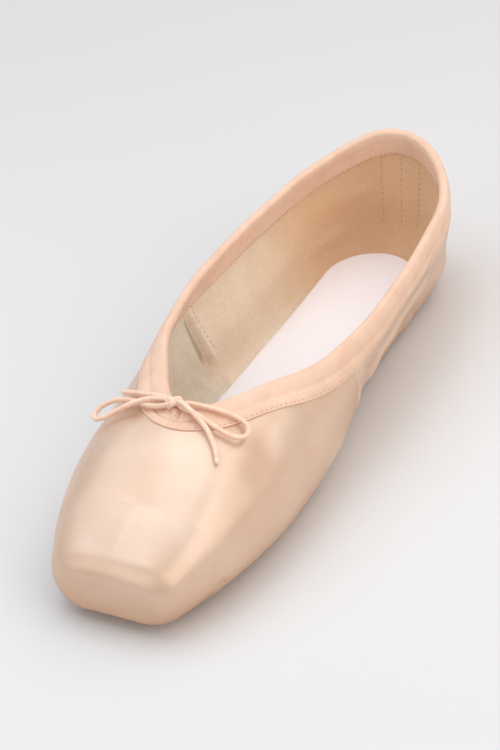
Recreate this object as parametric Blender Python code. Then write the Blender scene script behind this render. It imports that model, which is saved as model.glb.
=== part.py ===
"""Demi-pointe shoe: a soft ballet shoe with a light box and a flat toe platform.

One shoe of a straight-lasted pair, standing empty on its sole. X runs across the
shoe, Y runs from the toe (low) to the heel (high), Z is up and the floor is z = 0.
Sizes are in millimetres and become metres where the meshes are made.

The upper is one surface function of two coordinates:
  station  runs along the shoe, from the platform to the heel, then fans round it
  column   runs round each half section, from the margin underneath to the collar
Every other piece is cut from that function, so that all of them fit each other.
"""

import math

import bmesh
import bpy
import numpy as np
from mathutils import Vector
from mathutils.bvhtree import BVHTree

MM = 0.001

# Driving sizes of the last and the shoe.
SHOE_LENGTH = 236.0
BALL_WIDTH = 77.0
INSTEP_HEIGHT = 47.0
HEEL_HEIGHT = 50.5
HEEL_RUN = 0.848
PLATFORM_EDGE = 6.0

# Materials' own thicknesses.
OUTSOLE_THICKNESS = 2.4
INSOLE_THICKNESS = 1.6
TAPE_THICKNESS = 0.8
OUTER_LEAF = (1.5, 4.0, 6.8, 9.5)
INNER_LEAF = (1.5, 5.0, 8.5)
TAPE_GAP = 0.5
CORD_DIAMETER = 1.8
GAP = 0.3

HALF_BALL = BALL_WIDTH / 2
FAN_CENTRE = HEEL_RUN * SHOE_LENGTH
LENGTH_CENTRE = 120.6
SOLE_TOP = OUTSOLE_THICKNESS + GAP
HEEL_TOP = HEEL_HEIGHT / INSTEP_HEIGHT

# One row a section, from the platform to the side of the heel, and one for its back.
#   run      distance from the platform, as a share of the length
#   lift     rise of the bed over the flat tread, in millimetres
#   slot     half width of the opening underneath, 0 where the satin closes over the toe
#   bed      half width of the flat bed
#   girth    half width where the wall turns up
#   edge     half width at the collar, 0 where the vamp is closed over the foot
#   girth_z  height where the wall turns up
#   edge_z   height of the collar
#   crown_z  height of the vamp's crown, or of the crown that the collar cuts away
#   flare    angle by which the wall leans out over its girth, in degrees
#   lean     direction in which the wall meets the collar, in degrees, where 90 is level
#   rise     how far the wall keeps its flare over the girth
#   crown    how far the wall keeps its lean towards the collar or the crown
#   wall     thickness in millimetres
# Half widths are shares of half the ball width, and heights of the instep height.
# The back's half widths are measured from the fan's centre, along the shoe.
COLUMNS = ("run", "lift", "slot", "bed", "girth", "edge", "girth_z", "edge_z", "crown_z",
           "flare", "lean", "rise", "crown", "wall")
STATIONS = {
    "platform":  (0.00, 1.2, 0.00, 0.37, 0.565, 0.00, 0.30, 0.52, 0.52, 0, 90, 0.40, 0.62, 2.6),
    "box":       (0.10, 0.2, 0.00, 0.53, 0.825, 0.00, 0.32, 0.76, 0.76, 0, 90, 0.38, 0.61, 2.6),
    "wing":      (0.19, 0.0, 0.43, 0.67, 0.95, 0.00, 0.34, 0.93, 0.93, 0, 90, 0.36, 0.56, 2.4),
    "throat":    (0.26, 0.0, 0.52, 0.75, 1.00, 0.00, 0.36, 1.00, 1.00, 0, 90, 0.34, 0.50, 2.0),
    "ball":      (0.34, 0.0, 0.53, 0.76, 1.00, 0.48, 0.36, 1.00, 1.05, 1, 70, 0.33, 0.50, 1.8),
    "instep":    (0.46, 0.7, 0.45, 0.67, 0.93, 0.83, 0.34, 0.915, 1.10, 5, 40, 0.33, 0.50, 1.7),
    "waist":     (0.59, 2.2, 0.33, 0.545, 0.775, 0.935, 0.35, 0.91, 1.12, 11, 20, 0.33, 0.50, 1.7),
    "quarter":   (0.71, 0.7, 0.29, 0.52, 0.73, 0.915, 0.35, 0.90, 1.12, 11, 12, 0.33, 0.50, 1.7),
    "heel_side": (HEEL_RUN, 0.0, 0.28, 0.51, 0.735, 0.83, 0.35, 0.895, 1.12, 7, 10, 0.33, 0.50, 1.8),
    "heel_back": (HEEL_RUN, 0.0, 0.39, 0.60, 0.955, 1.03, 0.38, HEEL_TOP, HEEL_TOP, 5, 3, 0.33, 0.50, 1.9),
}
WIDTHS = ("slot", "bed", "girth", "edge")
HEIGHTS = ("girth_z", "edge_z", "crown_z")
OPENINGS = ("slot", "edge")
HEEL_SQUARENESS = 2.2

# Half outlines of the two soles. Columns: share of the length, share of half the ball width.
OUTSOLE_OUTLINE = {"toe": (0.10, 0.47), "ball": (0.33, 0.69), "instep": (0.46, 0.60),
                   "waist": (0.60, 0.47), "heel": (0.862, 0.48)}
INSOLE_OUTLINE = {"toe": (0.10, 0.42), "ball": (0.33, 0.60), "instep": (0.46, 0.535),
                  "waist": (0.60, 0.475), "heel": (0.862, 0.485)}
OUTSOLE_TIP = 12.0
INSOLE_TIP = 9.0

# The bow lies over the throat. Points are in millimetres, from the platform's centre line.
KNOT_CENTRE = (-2.4, 60.2, 50.4)
KNOT_RADII = (2.4, 2.0, 1.8)
BOW = {
    "loop_left": ((-5.4, 60.6, 51.0), (-8.5, 60.1, 50.7), (-13.0, 59.4, 49.6), (-17.8, 58.3, 48.0),
                  (-22.6, 57.0, 45.4), (-27.2, 55.5, 42.6), (-31.2, 54.2, 40.4), (-33.2, 55.2, 39.8),
                  (-32.2, 58.4, 41.0), (-28.6, 60.8, 43.2), (-24.2, 61.4, 45.0), (-19.8, 60.9, 46.3),
                  (-15.6, 59.5, 47.0), (-11.6, 58.2, 47.9), (-8.0, 57.9, 48.6), (-5.2, 58.5, 49.3)),
    "end_left": ((-5.2, 62.3, 49.5), (-10.0, 62.7, 48.9), (-15.0, 63.3, 47.9), (-19.4, 64.4, 46.7),
                 (-23.6, 66.0, 45.4), (-27.4, 67.5, 44.2)),
    "loop_right": ((0.8, 61.3, 50.0), (4.2, 61.5, 49.6), (8.4, 61.6, 49.0), (12.6, 61.6, 48.3),
                   (17.0, 62.1, 47.2), (21.0, 62.5, 45.8), (24.2, 61.7, 44.3), (24.6, 60.0, 43.9),
                   (22.4, 58.9, 44.9), (19.4, 58.5, 46.1), (15.6, 57.8, 47.0), (11.6, 57.6, 47.8),
                   (7.6, 58.2, 48.6), (4.0, 58.9, 49.3), (0.8, 59.0, 49.6)),
    "end_right": ((0.9, 59.0, 52.1), (4.2, 57.7, 51.5), (8.2, 56.1, 49.9), (11.9, 54.3, 48.0),
                  (15.2, 51.5, 46.0), (18.2, 48.3, 43.9), (20.4, 44.8, 42.0)),
}

FINISHES = {
    "satin": ((0.80, 0.56, 0.42), 0.38),
    "tape": ((0.84, 0.60, 0.46), 0.85),
    "leather": ((0.46, 0.27, 0.17), 0.70),
    "cover": ((0.93, 0.86, 0.83), 0.75),
    "cord": ((0.84, 0.58, 0.44), 0.70),
}


# --- curves and tables ---------------------------------------------------------

def smooth(xs, values, x):
    """Read a curve through the points (xs, values) that never overshoots them."""
    xs = np.asarray(xs, float)
    values = np.asarray(values, float)
    steps = np.diff(xs)
    slopes = np.diff(values) / steps
    tangents = np.zeros(len(xs))
    tangents[0], tangents[-1] = slopes[0], slopes[-1]
    for i in range(1, len(xs) - 1):
        if slopes[i - 1] * slopes[i] > 0:
            before, after = steps[i - 1], steps[i]
            weights = (2 * after + before, after + 2 * before)
            tangents[i] = sum(weights) / (weights[0] / slopes[i - 1] + weights[1] / slopes[i])
    place = np.clip(np.searchsorted(xs, x, side="right") - 1, 0, len(steps) - 1)
    step = steps[place]
    t = (x - xs[place]) / step
    return ((2 * t**3 - 3 * t**2 + 1) * values[place] + (t**3 - 2 * t**2 + t) * step * tangents[place]
            + (3 * t**2 - 2 * t**3) * values[place + 1] + (t**3 - t**2) * step * tangents[place + 1])


def row_sizes(row):
    """Return one station's columns in millimetres, degrees and shares, by name."""
    sizes = dict(zip(COLUMNS, row))
    sizes["run"] *= SHOE_LENGTH
    for name in WIDTHS:
        sizes[name] *= HALF_BALL
    for name in HEIGHTS:
        sizes[name] *= INSTEP_HEIGHT
    sizes["bed_z"] = SOLE_TOP + sizes["lift"]
    return sizes


ROWS = {name: row_sizes(row) for name, row in STATIONS.items()}
HEEL_BACK = ROWS.pop("heel_back")
TABLE = {name: np.array([row[name] for row in ROWS.values()]) for name in ROWS["throat"]}
RUNS = TABLE["run"]


def shape_at(y):
    """Return the section's sizes at a distance along the shoe, in front of the heel's fan."""
    sizes = {}
    for name, column in TABLE.items():
        if name in OPENINGS:
            first = np.flatnonzero(column == 0)[-1]
            opened = y > RUNS[first]
            sizes[name] = math.sqrt(smooth(RUNS[first:], column[first:]**2, y)) if opened else 0.0
        else:
            sizes[name] = float(smooth(RUNS, column, y))
    if y < PLATFORM_EDGE:
        inset = PLATFORM_EDGE - math.sqrt(PLATFORM_EDGE**2 - (PLATFORM_EDGE - y)**2)
        sizes["girth"] -= inset
        sizes["bed"] -= inset
        sizes["crown_z"] -= 0.9 * inset
        sizes["bed_z"] += 0.5 * inset
    return sizes


def bezier_points(controls, t):
    """Return points of a cubic Bezier curve at the parameters t."""
    t = np.asarray(t, float)[:, None]
    a, b, c, d = controls
    return (1 - t)**3 * a + 3 * (1 - t)**2 * t * b + 3 * (1 - t) * t**2 * c + t**3 * d


def even_points(controls, count):
    """Return evenly spaced points of a cubic Bezier curve, its first point left out."""
    curve = bezier_points(controls, np.linspace(0, 1, 60))
    run = np.concatenate([[0], np.cumsum(np.linalg.norm(np.diff(curve, axis=0), axis=1))])
    even = np.linspace(0, run[-1], count + 1)[1:]
    return np.stack([np.interp(even, run, curve[:, 0]), np.interp(even, run, curve[:, 1])], 1)


def cut_bezier(controls, width):
    """Return the controls of the part of a Bezier curve that lies outside a half width."""
    t = np.linspace(0, 1, 400)
    end = float(np.interp(-width, -bezier_points(controls, t)[:, 0], t))
    levels = [np.array(controls)]
    while len(levels[-1]) > 1:
        levels.append(levels[-1][:-1] * (1 - end) + levels[-1][1:] * end)
    return np.array([level[0] for level in levels])


# --- the upper's surface ---------------------------------------------------------

LOWER_COLUMNS = 5
UPPER_COLUMNS = 9
ROUNDNESS = 0.55
HEEL_ANGLES = (4, 10, 18, 27, 36, 45, 54, 63, 72, 81, 90)


def wall_curve(sizes, end, angle):
    """Return the controls of the wall's curve from its girth to an end met at an angle."""
    girth = np.array([sizes["girth"], sizes["girth_z"]])
    reach = np.linalg.norm(end - girth)
    flare, lean = math.radians(sizes["flare"]), math.radians(angle)
    start = girth + sizes["rise"] * reach * np.array([math.sin(flare), math.cos(flare)])
    shoulder = end + sizes["crown"] * reach * np.array([math.sin(lean), -math.cos(lean)])
    return np.array([girth, start, shoulder, end])


def half_section(sizes):
    """Return a half section's points, from the opening underneath to the collar or the crown.

    Near the throat the collar is cut out of the vamp's closed curve. From there to the
    instep that curve turns by degrees into the free wall of the quarters.
    """
    bed = np.array([sizes["bed"], sizes["bed_z"]])
    girth = np.array([sizes["girth"], sizes["girth_z"]])
    out, up = girth - bed
    turn = girth - ROUNDNESS * up * np.array([math.tan(math.radians(sizes["flare"])), 1])
    lower = even_points(np.array([bed, bed + (ROUNDNESS * out, 0), turn, girth]), LOWER_COLUMNS)
    closed = wall_curve(sizes, np.array([0, sizes["crown_z"]]), 90)
    free = wall_curve(sizes, np.array([sizes["edge"], sizes["edge_z"]]), sizes["lean"])
    throat, instep = ROWS["throat"]["run"], ROWS["instep"]["run"]
    share = min(1.0, max(0.0, (sizes["run"] - throat) / (instep - throat)))
    share = share * share * (3 - 2 * share)
    upper = even_points((1 - share) * cut_bezier(closed, sizes["edge"]) + share * free, UPPER_COLUMNS)
    return np.vstack([[(sizes["slot"], sizes["bed_z"]), bed], lower, upper])


def row_places():
    """Return the rows' distances along the shoe: close at the toe's edge, the slot and the throat."""
    toe = [PLATFORM_EDGE * (1 - math.cos(math.radians(angle))) for angle in (0, 24, 46, 68, 90)]
    box = np.linspace(toe[-1], ROWS["box"]["run"], 4)[1:]
    slot = ROWS["box"]["run"] + np.array([0.8, 2.6, 5.8])
    vamp = np.linspace(slot[-1], ROWS["throat"]["run"], 6)[1:]
    throat = ROWS["throat"]["run"] + np.array([0.5, 1.6, 3.4, 6.0, 9.4, 13.6])
    sides = np.linspace(throat[-1], FAN_CENTRE, 18)[1:]
    return np.concatenate([toe, box, slot, vamp, throat, sides])


def heel_rows(angles):
    """Return the rows round the heel, between its side section and its back section.

    Each column is a quarter of a superellipse, which keeps the taper of the side at first.
    """
    side, back = half_section(ROWS["heel_side"]), half_section(HEEL_BACK)
    taper = side[:, 0] - half_section(shape_at(FAN_CENTRE - 1))[:, 0]
    rows = []
    for angle in np.radians(angles):
        across, along = (abs(part)**(2 / HEEL_SQUARENESS) for part in (math.cos(angle), math.sin(angle)))
        height = side[:, 1] + (back[:, 1] - side[:, 1]) * math.sin(angle)**3
        behind = back[:, 0] * along
        rows.append(np.stack([(side[:, 0] + taper * behind) * across, FAN_CENTRE + behind, height], 1))
    return rows


def surface_rows():
    """Return the outer surface's right half as rows of points, with each row's sizes."""
    sizes = [shape_at(y) for y in row_places()]
    rows = []
    for shape in sizes:
        section = half_section(shape)
        rows.append(np.stack([section[:, 0], np.full(len(section), shape["run"]), section[:, 1]], 1))
    around = heel_rows(HEEL_ANGLES)
    return np.array(rows + around), sizes + [HEEL_BACK] * len(around)


def surface_normals(rows, sizes):
    """Return the outward normals of the half surface, taken across its planes of symmetry."""
    centre = rows[0].mean(axis=0) * (0, 1, 1)
    before = (2 * rows[0] + centre) / 3
    after = rows[-2] * (-1, 1, 1)
    tall = np.concatenate([[before], rows, [after]])
    under = 2 * rows[:, 0] - rows[:, 1]
    over = 2 * rows[:, -1] - rows[:, -2]
    for i, shape in enumerate(sizes):
        if shape["slot"] == 0:
            under[i] = rows[i, 1] * (-1, 1, 1)
        if shape["edge"] == 0:
            over[i] = rows[i, -2] * (-1, 1, 1)
    wide = np.concatenate([under[:, None], rows, over[:, None]], axis=1)
    along = tall[2:] - tall[:-2]
    around = wide[:, 2:] - wide[:, :-2]
    normals = np.cross(along, around)
    return normals / np.linalg.norm(normals, axis=2)[:, :, None]


# --- solids --------------------------------------------------------------------------

def finish(name):
    """Return the material of one finish, made on first use."""
    material = bpy.data.materials.get(name)
    if material is None:
        color, roughness = FINISHES[name]
        material = bpy.data.materials.new(name)
        material.use_nodes = True
        shader = material.node_tree.nodes["Principled BSDF"]
        shader.inputs["Base Color"].default_value = (*color, 1)
        shader.inputs["Roughness"].default_value = roughness
        material.diffuse_color = (*color, 1)
    return material


def make_solid(name, points, faces, material):
    """Make one closed object from points in millimetres, with coincident points merged."""
    mesh = bpy.data.meshes.new(name)
    build = bmesh.new()
    verts = [build.verts.new(Vector(point) * MM) for point in points]
    merged = {}
    for vert in verts:
        merged.setdefault(tuple(round(value * 1e7) for value in vert.co), vert)
    for face in faces:
        corners = [merged[tuple(round(value * 1e7) for value in verts[i].co)] for i in face]
        corners = [corner for i, corner in enumerate(corners) if corner is not corners[i - 1]]
        if len(set(corners)) > 2:
            build.faces.new(corners)
    bmesh.ops.delete(build, geom=[vert for vert in build.verts if not vert.link_faces], context="VERTS")
    bmesh.ops.recalc_face_normals(build, faces=build.faces)
    if build.calc_volume(signed=True) < 0:
        bmesh.ops.reverse_faces(build, faces=build.faces)
    build.to_mesh(mesh)
    build.free()
    mesh.shade_smooth()
    mesh.set_sharp_from_angle(angle=math.radians(40))
    mesh.materials.append(finish(material))
    solid = bpy.data.objects.new(name, mesh)
    bpy.context.scene.collection.objects.link(solid)
    return solid


def grid_faces(rows, columns, start=0, closed=False):
    """Return the quads of a grid of points stored row by row from index start."""
    faces = []
    for i in range(rows - 1):
        for j in range(columns if closed else columns - 1):
            k = (j + 1) % columns
            faces.append((start + i * columns + j, start + i * columns + k,
                          start + (i + 1) * columns + k, start + (i + 1) * columns + j))
    return faces


def half_shell(outer, inner, sizes):
    """Return points and faces of the wall's half: both skins and its two open edges."""
    rows, columns = outer.shape[:2]
    points = [tuple(point) for skin in (outer, inner) for row in skin for point in row]
    inside = rows * columns
    faces = grid_faces(rows, columns) + grid_faces(rows, columns, inside)
    for i in range(rows - 1):
        for column, opening in ((0, "slot"), (columns - 1, "edge")):
            if sizes[i + 1][opening] > 0:
                a, b = i * columns + column, (i + 1) * columns + column
                faces.append((a, b, b + inside, a + inside))
    return points, faces


def make_upper(outer, inner, sizes):
    """Make the hollow upper: the wall's two halves and the two faces of the platform."""
    points, faces = half_shell(outer, inner, sizes)
    count = len(points)
    points += [(-x, y, z) for x, y, z in points]
    faces += [tuple(i + count for i in face) for face in faces]
    columns = outer.shape[1]
    for first in (0, outer.shape[0] * columns):
        faces += [(first + j, first + j + 1, count + first + j + 1, count + first + j)
                  for j in range(columns - 1)]
    return make_solid("upper", points, faces, "satin")


def sole_outline(outline, tip, nose=12.0):
    """Return a sole's stations as pairs of distance along the shoe and half width."""
    runs = np.array([run for run, _ in outline.values()]) * SHOE_LENGTH
    heel_centre = runs[-1]
    widths = np.array([width for _, width in outline.values()]) * HALF_BALL
    stations = []
    for y in tip + nose * (1 - np.cos(np.radians(np.linspace(12, 90, 6)))):
        reach = math.sqrt(1 - ((tip + nose - y) / nose)**2)
        width = float(smooth(runs, widths, max(y, runs[0])))
        stations.append((y, width * reach**0.7))
    for y in np.linspace(tip + nose, heel_centre, 19)[1:]:
        stations.append((y, float(smooth(runs, widths, max(y, runs[0])))))
    heel = stations[-1][1]
    for angle in np.radians(np.linspace(0, 84, 8)[1:]):
        stations.append((heel_centre + heel * math.sin(angle), heel * math.cos(angle)))
    return stations


def make_sole(name, stations, profile, material):
    """Make a flat sole by lofting a cross profile along its outline.

    The profile lists pairs of inset from the outline and height, for the right side,
    from the lowest to the highest, and height is a function of the distance along.
    """
    points = []
    for y, width in stations:
        side = [(max(0.2, width - inset), height(y)) for inset, height in profile]
        points += [(x, y, z) for x, z in side]
        points += [(-x, y, z) for x, z in reversed(side)]
    columns = 2 * len(profile)
    faces = grid_faces(len(stations), columns, closed=True)
    last = (len(stations) - 1) * columns
    faces += [tuple(range(columns)), tuple(range(last, last + columns))]
    return make_solid(name, points, faces, material)


def bed_height(y):
    """Return the height of the upper's underside at a distance along the shoe."""
    return shape_at(min(y, FAN_CENTRE))["bed_z"]


def wall_at(y):
    """Return the wall's thickness at a distance along the shoe."""
    return shape_at(min(y, FAN_CENTRE))["wall"]


def make_outsole():
    """Make the leather outsole, with its edge turned up a little towards the satin."""
    def top(y):
        return bed_height(y) - GAP

    def edge(y):
        return top(y) - 0.6 * OUTSOLE_THICKNESS

    def tread(y):
        return top(y) - OUTSOLE_THICKNESS

    profile = ((1.3, tread), (0.0, edge), (0.0, top))
    return make_sole("outsole", sole_outline(OUTSOLE_OUTLINE, OUTSOLE_TIP), profile, "leather")


def make_insole():
    """Make the covered insole board, lying on the upper's margin."""
    def bottom(y):
        return bed_height(y) + wall_at(y) + 1.3 * GAP

    def top(y):
        return bottom(y) + INSOLE_THICKNESS

    return make_sole("insole", sole_outline(INSOLE_OUTLINE, INSOLE_TIP), ((0.0, bottom), (0.0, top)), "cover")


def skin_tree(skin):
    """Return a search tree of one whole skin, with its faces pointing out of the shoe."""
    rows, columns = skin.shape[:2]
    half = skin.reshape(-1, 3)
    mirrored = [tuple(i + len(half) for i in face) for face in grid_faces(rows, columns)]
    faces = [tuple(reversed(face)) for face in grid_faces(rows, columns)]
    points = np.vstack([half, half * (-1, 1, 1)])
    return BVHTree.FromPolygons([Vector(point) for point in points], faces + mirrored)


def collar_ring(skin, sizes):
    """Return a skin's collar points in a ring: throat, right side, heel, left side."""
    first = max(i for i, shape in enumerate(sizes) if shape["edge"] == 0)
    right = skin[first:, -1]
    return np.vstack([right, right[-2:0:-1] * (-1, 1, 1)])


def make_binding(outer, inner, sizes):
    """Make the tape folded over the collar, with the round casing of the drawstring."""
    outside, inside = collar_ring(outer, sizes), collar_ring(inner, sizes)
    trees = skin_tree(outer), skin_tree(inner)
    tangents = np.roll(outside, -1, axis=0) - np.roll(outside, 1, axis=0)
    far, near = TAPE_GAP + TAPE_THICKNESS, TAPE_GAP
    points = []
    for out, into, tangent in zip(outside, inside, tangents):
        normal = (out - into) / np.linalg.norm(out - into)
        away = np.cross(tangent, normal)
        away /= np.linalg.norm(away)
        middle, half = (out + into) / 2, np.linalg.norm(out - into) / 2

        def leaf(side, width, height):
            start = (out, into)[side] + width * away
            place, facing, _, _ = trees[side].find_nearest(Vector(start))
            return np.array(place + facing * height)

        def fold(across, up):
            return middle + across * normal - up * away

        casing = half + far + 0.2
        points += [leaf(0, width, far) for width in reversed(OUTER_LEAF)]
        points += [fold(casing * math.cos(angle), 0.9 + casing * 0.75 * math.sin(angle))
                   for angle in np.radians((30, 90, 150))]
        points += [leaf(1, width, -far) for width in INNER_LEAF]
        points += [leaf(1, width, -near) for width in reversed(INNER_LEAF)]
        points += [fold(-half - near, near), fold(half + near, near)]
        points += [leaf(0, width, near) for width in OUTER_LEAF]
    columns = len(points) // len(outside)
    faces = grid_faces(len(outside), columns, closed=True)
    last = (len(outside) - 1) * columns
    faces += [(last + j, last + (j + 1) % columns, (j + 1) % columns, j) for j in range(columns)]
    return make_solid("binding", points, faces, "tape")


def route_points(route, spacing):
    """Return evenly spaced points of the smooth curve through a route's points."""
    route = np.array(route)
    padded = np.vstack([2 * route[0] - route[1], route, 2 * route[-1] - route[-2]])
    curve = []
    for a, b, c, d in zip(padded, padded[1:], padded[2:], padded[3:]):
        for t in np.linspace(0, 1, 12, endpoint=False):
            curve.append(0.5 * (2 * b + (c - a) * t + (2 * a - 5 * b + 4 * c - d) * t**2
                                + (3 * b - a - 3 * c + d) * t**3))
    curve = np.array(curve + [route[-1]])
    run = np.concatenate([[0], np.cumsum(np.linalg.norm(np.diff(curve, axis=0), axis=1))])
    even = np.linspace(0, run[-1], max(3, round(run[-1] / spacing) + 1))
    return np.stack([np.interp(even, run, curve[:, axis]) for axis in range(3)], 1)


def make_cord(name, route):
    """Make one stretch of the drawstring as a round tube along its route."""
    curve = bpy.data.curves.new(name, "CURVE")
    curve.dimensions = "3D"
    curve.bevel_depth = CORD_DIAMETER / 2 * MM
    curve.bevel_resolution = 2
    curve.use_fill_caps = True
    points = route_points(route, 2 * CORD_DIAMETER)
    spline = curve.splines.new("POLY")
    spline.points.add(len(points) - 1)
    for point, place in zip(spline.points, points):
        point.co = (*(place * MM), 1)
    curve.materials.append(finish("cord"))
    cord = bpy.data.objects.new(name, curve)
    bpy.context.scene.collection.objects.link(cord)
    return cord


def make_knot():
    """Make the knot's outer shape, a small flattened ball."""
    build = bmesh.new()
    bmesh.ops.create_uvsphere(build, u_segments=14, v_segments=8, radius=1)
    for vert in build.verts:
        vert.co = Vector(c + r * v for c, r, v in zip(KNOT_CENTRE, KNOT_RADII, vert.co)) * MM
    mesh = bpy.data.meshes.new("drawstring_knot")
    build.to_mesh(mesh)
    build.free()
    mesh.shade_smooth()
    mesh.materials.append(finish("cord"))
    knot = bpy.data.objects.new("drawstring_knot", mesh)
    bpy.context.scene.collection.objects.link(knot)
    return knot


def main():
    """Build the shoe's pieces."""
    for leftover in list(bpy.data.objects):
        bpy.data.objects.remove(leftover, do_unlink=True)
    outer, sizes = surface_rows()
    normals = surface_normals(outer, sizes)
    walls = np.array([shape["wall"] for shape in sizes])[:, None, None]
    inner = outer - walls * normals
    pieces = [make_upper(outer, inner, sizes), make_outsole(), make_insole(),
              make_binding(outer, inner, sizes), make_knot()]
    pieces += [make_cord("drawstring_" + name, route) for name, route in BOW.items()]
    for piece in pieces:
        piece.location.y = -LENGTH_CENTRE * MM


main()
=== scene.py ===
"""Demi-pointe shoe: the finished look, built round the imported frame.

Sizes are in millimetres in the last's own terms: x runs across the shoe, y from the
toe's platform (0) to the heel, and z up from the floor. They become metres, in the
frame's own place, where a mesh is made. ORIGIN_RUN is the frame's origin in these terms.
"""

import logging
import math
from collections.abc import Callable, Iterable, Sequence
from dataclasses import dataclass, field
from enum import Enum
from functools import cached_property
from typing import ClassVar

import bpy
import numpy as np
from mathutils import Matrix, Vector
from mathutils.bvhtree import BVHTree
from mathutils.kdtree import KDTree

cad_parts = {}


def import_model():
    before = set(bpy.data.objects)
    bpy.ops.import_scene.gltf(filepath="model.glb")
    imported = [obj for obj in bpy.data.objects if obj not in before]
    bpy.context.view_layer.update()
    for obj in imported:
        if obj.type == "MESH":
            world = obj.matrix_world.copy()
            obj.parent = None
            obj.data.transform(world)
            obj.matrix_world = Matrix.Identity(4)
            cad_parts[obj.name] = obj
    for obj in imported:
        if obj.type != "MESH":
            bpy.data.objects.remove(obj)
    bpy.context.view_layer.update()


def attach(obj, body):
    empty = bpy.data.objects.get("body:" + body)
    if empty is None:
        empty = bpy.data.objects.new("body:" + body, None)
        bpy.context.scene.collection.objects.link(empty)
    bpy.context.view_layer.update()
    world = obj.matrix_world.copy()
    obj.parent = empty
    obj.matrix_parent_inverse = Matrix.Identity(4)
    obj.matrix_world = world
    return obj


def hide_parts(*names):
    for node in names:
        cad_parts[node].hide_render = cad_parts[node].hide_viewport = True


LOG = logging.getLogger("demi_pointe")

MM = 0.001
ORIGIN_RUN = 120.6
BODY = "root"
UV_MAP = "Grain"
MIRROR = (-1, 1, 1)
BOTH_SIDES = ((1, 1, 1), MIRROR)

Colour = tuple[float, float, float]
Place = tuple[float, float, float]
Array = np.ndarray
Material = bpy.types.Material
Node = bpy.types.Node
NodeTree = bpy.types.NodeTree
Piece = bpy.types.Object
Socket = bpy.types.NodeSocket
Look = tuple[Socket, Socket, Socket]


class Profile(Enum):
    """The cross shape of a raised or sunk line."""

    SOFT = "soft"
    BAND = "band"


class Layer(Enum):
    """The layer of the upper that a fold moves."""

    WALL = "wall"
    CLOTH = "cloth"
    LINING = "lining"


class Skin(Enum):
    """A face of the upper that tape, ribbon and thread are laid on."""

    SATIN = "satin"
    LINING = "lining"


# --- curves ------------------------------------------------------------------------

def smooth(xs: Array, values: Array, x: float) -> float:
    """Read a curve through points that never overshoots them.

    Args:
        xs: the points' places, rising.
        values: the points' values.
        x: where to read.

    Returns:
        The curve's value at x.
    """
    steps = np.diff(xs)
    slopes = np.diff(values) / steps
    tangents = np.zeros(len(xs))
    tangents[0], tangents[-1] = slopes[0], slopes[-1]
    for i in range(1, len(xs) - 1):
        if slopes[i - 1] * slopes[i] > 0:
            before, after = steps[i - 1], steps[i]
            weights = (2 * after + before, after + 2 * before)
            tangents[i] = sum(weights) / (weights[0] / slopes[i - 1] + weights[1] / slopes[i])
    place = int(np.clip(np.searchsorted(xs, x, side="right") - 1, 0, len(steps) - 1))
    step = steps[place]
    t = (x - xs[place]) / step
    return float((2 * t**3 - 3 * t**2 + 1) * values[place] + (t**3 - 2 * t**2 + t) * step * tangents[place]
                 + (3 * t**2 - 2 * t**3) * values[place + 1] + (t**3 - t**2) * step * tangents[place + 1])


def ease(low: float, high: float, x: Array) -> Array:
    """Return 0 below low, 1 above high and a soft step between them."""
    t = np.clip((np.asarray(x, float) - low) / (high - low), 0, 1)
    return t * t * (3 - 2 * t)


def run_lengths(points: Array) -> Array:
    """Return the distance along a line of points, from its first point."""
    return np.concatenate([[0], np.cumsum(np.linalg.norm(np.diff(points, axis=0), axis=1))])


def unit(vectors: Array) -> Array:
    """Return vectors made one long."""
    return vectors / np.linalg.norm(vectors, axis=1)[:, None]


def ring_steps(line: Array) -> Array:
    """Return the step along a ring at each of its points, of which the first is repeated."""
    return np.gradient(np.vstack([line[-2:-1], line, line[1:2]]), axis=0)[1:-1]


def resampled(points: Array, count: int, run: Array | None = None) -> Array:
    """Space a line's points evenly.

    Args:
        points: the line's points.
        count: how many points to return.
        run: the distances to space them by, if they aren't the line's own.

    Returns:
        The points, with the line's two ends kept.
    """
    if run is None:
        run = run_lengths(points)
    even = np.linspace(0, run[-1], count)
    return np.stack([np.interp(even, run, points[:, k]) for k in range(points.shape[1])], 1)


def bezier(controls: Array, t: Array) -> Array:
    """Read a cubic Bezier curve.

    Args:
        controls: its four control points.
        t: the parameters to read it at.

    Returns:
        One point for each parameter.
    """
    t = np.asarray(t, float)[:, None]
    a, b, c, d = controls
    return (1 - t)**3 * a + 3 * (1 - t)**2 * t * b + 3 * (1 - t) * t**2 * c + t**3 * d


def even_bezier(controls: Array, count: int) -> Array:
    """Return evenly spaced points of a cubic Bezier curve, its first point left out."""
    return resampled(bezier(controls, np.linspace(0, 1, 90)), count + 1)[1:]


def cut_bezier(controls: Array, width: float) -> Array:
    """Cut a cubic Bezier curve where it comes within a half width of the middle.

    Args:
        controls: its four control points, from the outside in.
        width: the half width.

    Returns:
        The control points of the part outside that width.
    """
    t = np.linspace(0, 1, 400)
    end = float(np.interp(-width, -bezier(controls, t)[:, 0], t))
    levels = [np.array(controls)]
    while len(levels[-1]) > 1:
        levels.append(levels[-1][:-1] * (1 - end) + levels[-1][1:] * end)
    return np.array([level[0] for level in levels])


def splined(route: Sequence[Place] | Array, spacing: float) -> Array:
    """Draw the smooth curve through a route's points.

    Args:
        route: the points that the curve goes through.
        spacing: the distance between the points returned, in millimetres.

    Returns:
        The curve's points, evenly spaced from the route's first to its last.
    """
    ends = np.array(route, float)
    padded = np.vstack([2 * ends[0] - ends[1], ends, 2 * ends[-1] - ends[-2]])
    curve = []
    for a, b, c, d in zip(padded, padded[1:], padded[2:], padded[3:]):
        for t in np.linspace(0, 1, 12, endpoint=False):
            curve.append(0.5 * (2 * b + (c - a) * t + (2 * a - 5 * b + 4 * c - d) * t**2
                                + (3 * b - a - 3 * c + d) * t**3))
    line = np.array(curve + [ends[-1]])
    return resampled(line, max(3, round(run_lengths(line)[-1] / spacing) + 1))


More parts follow.
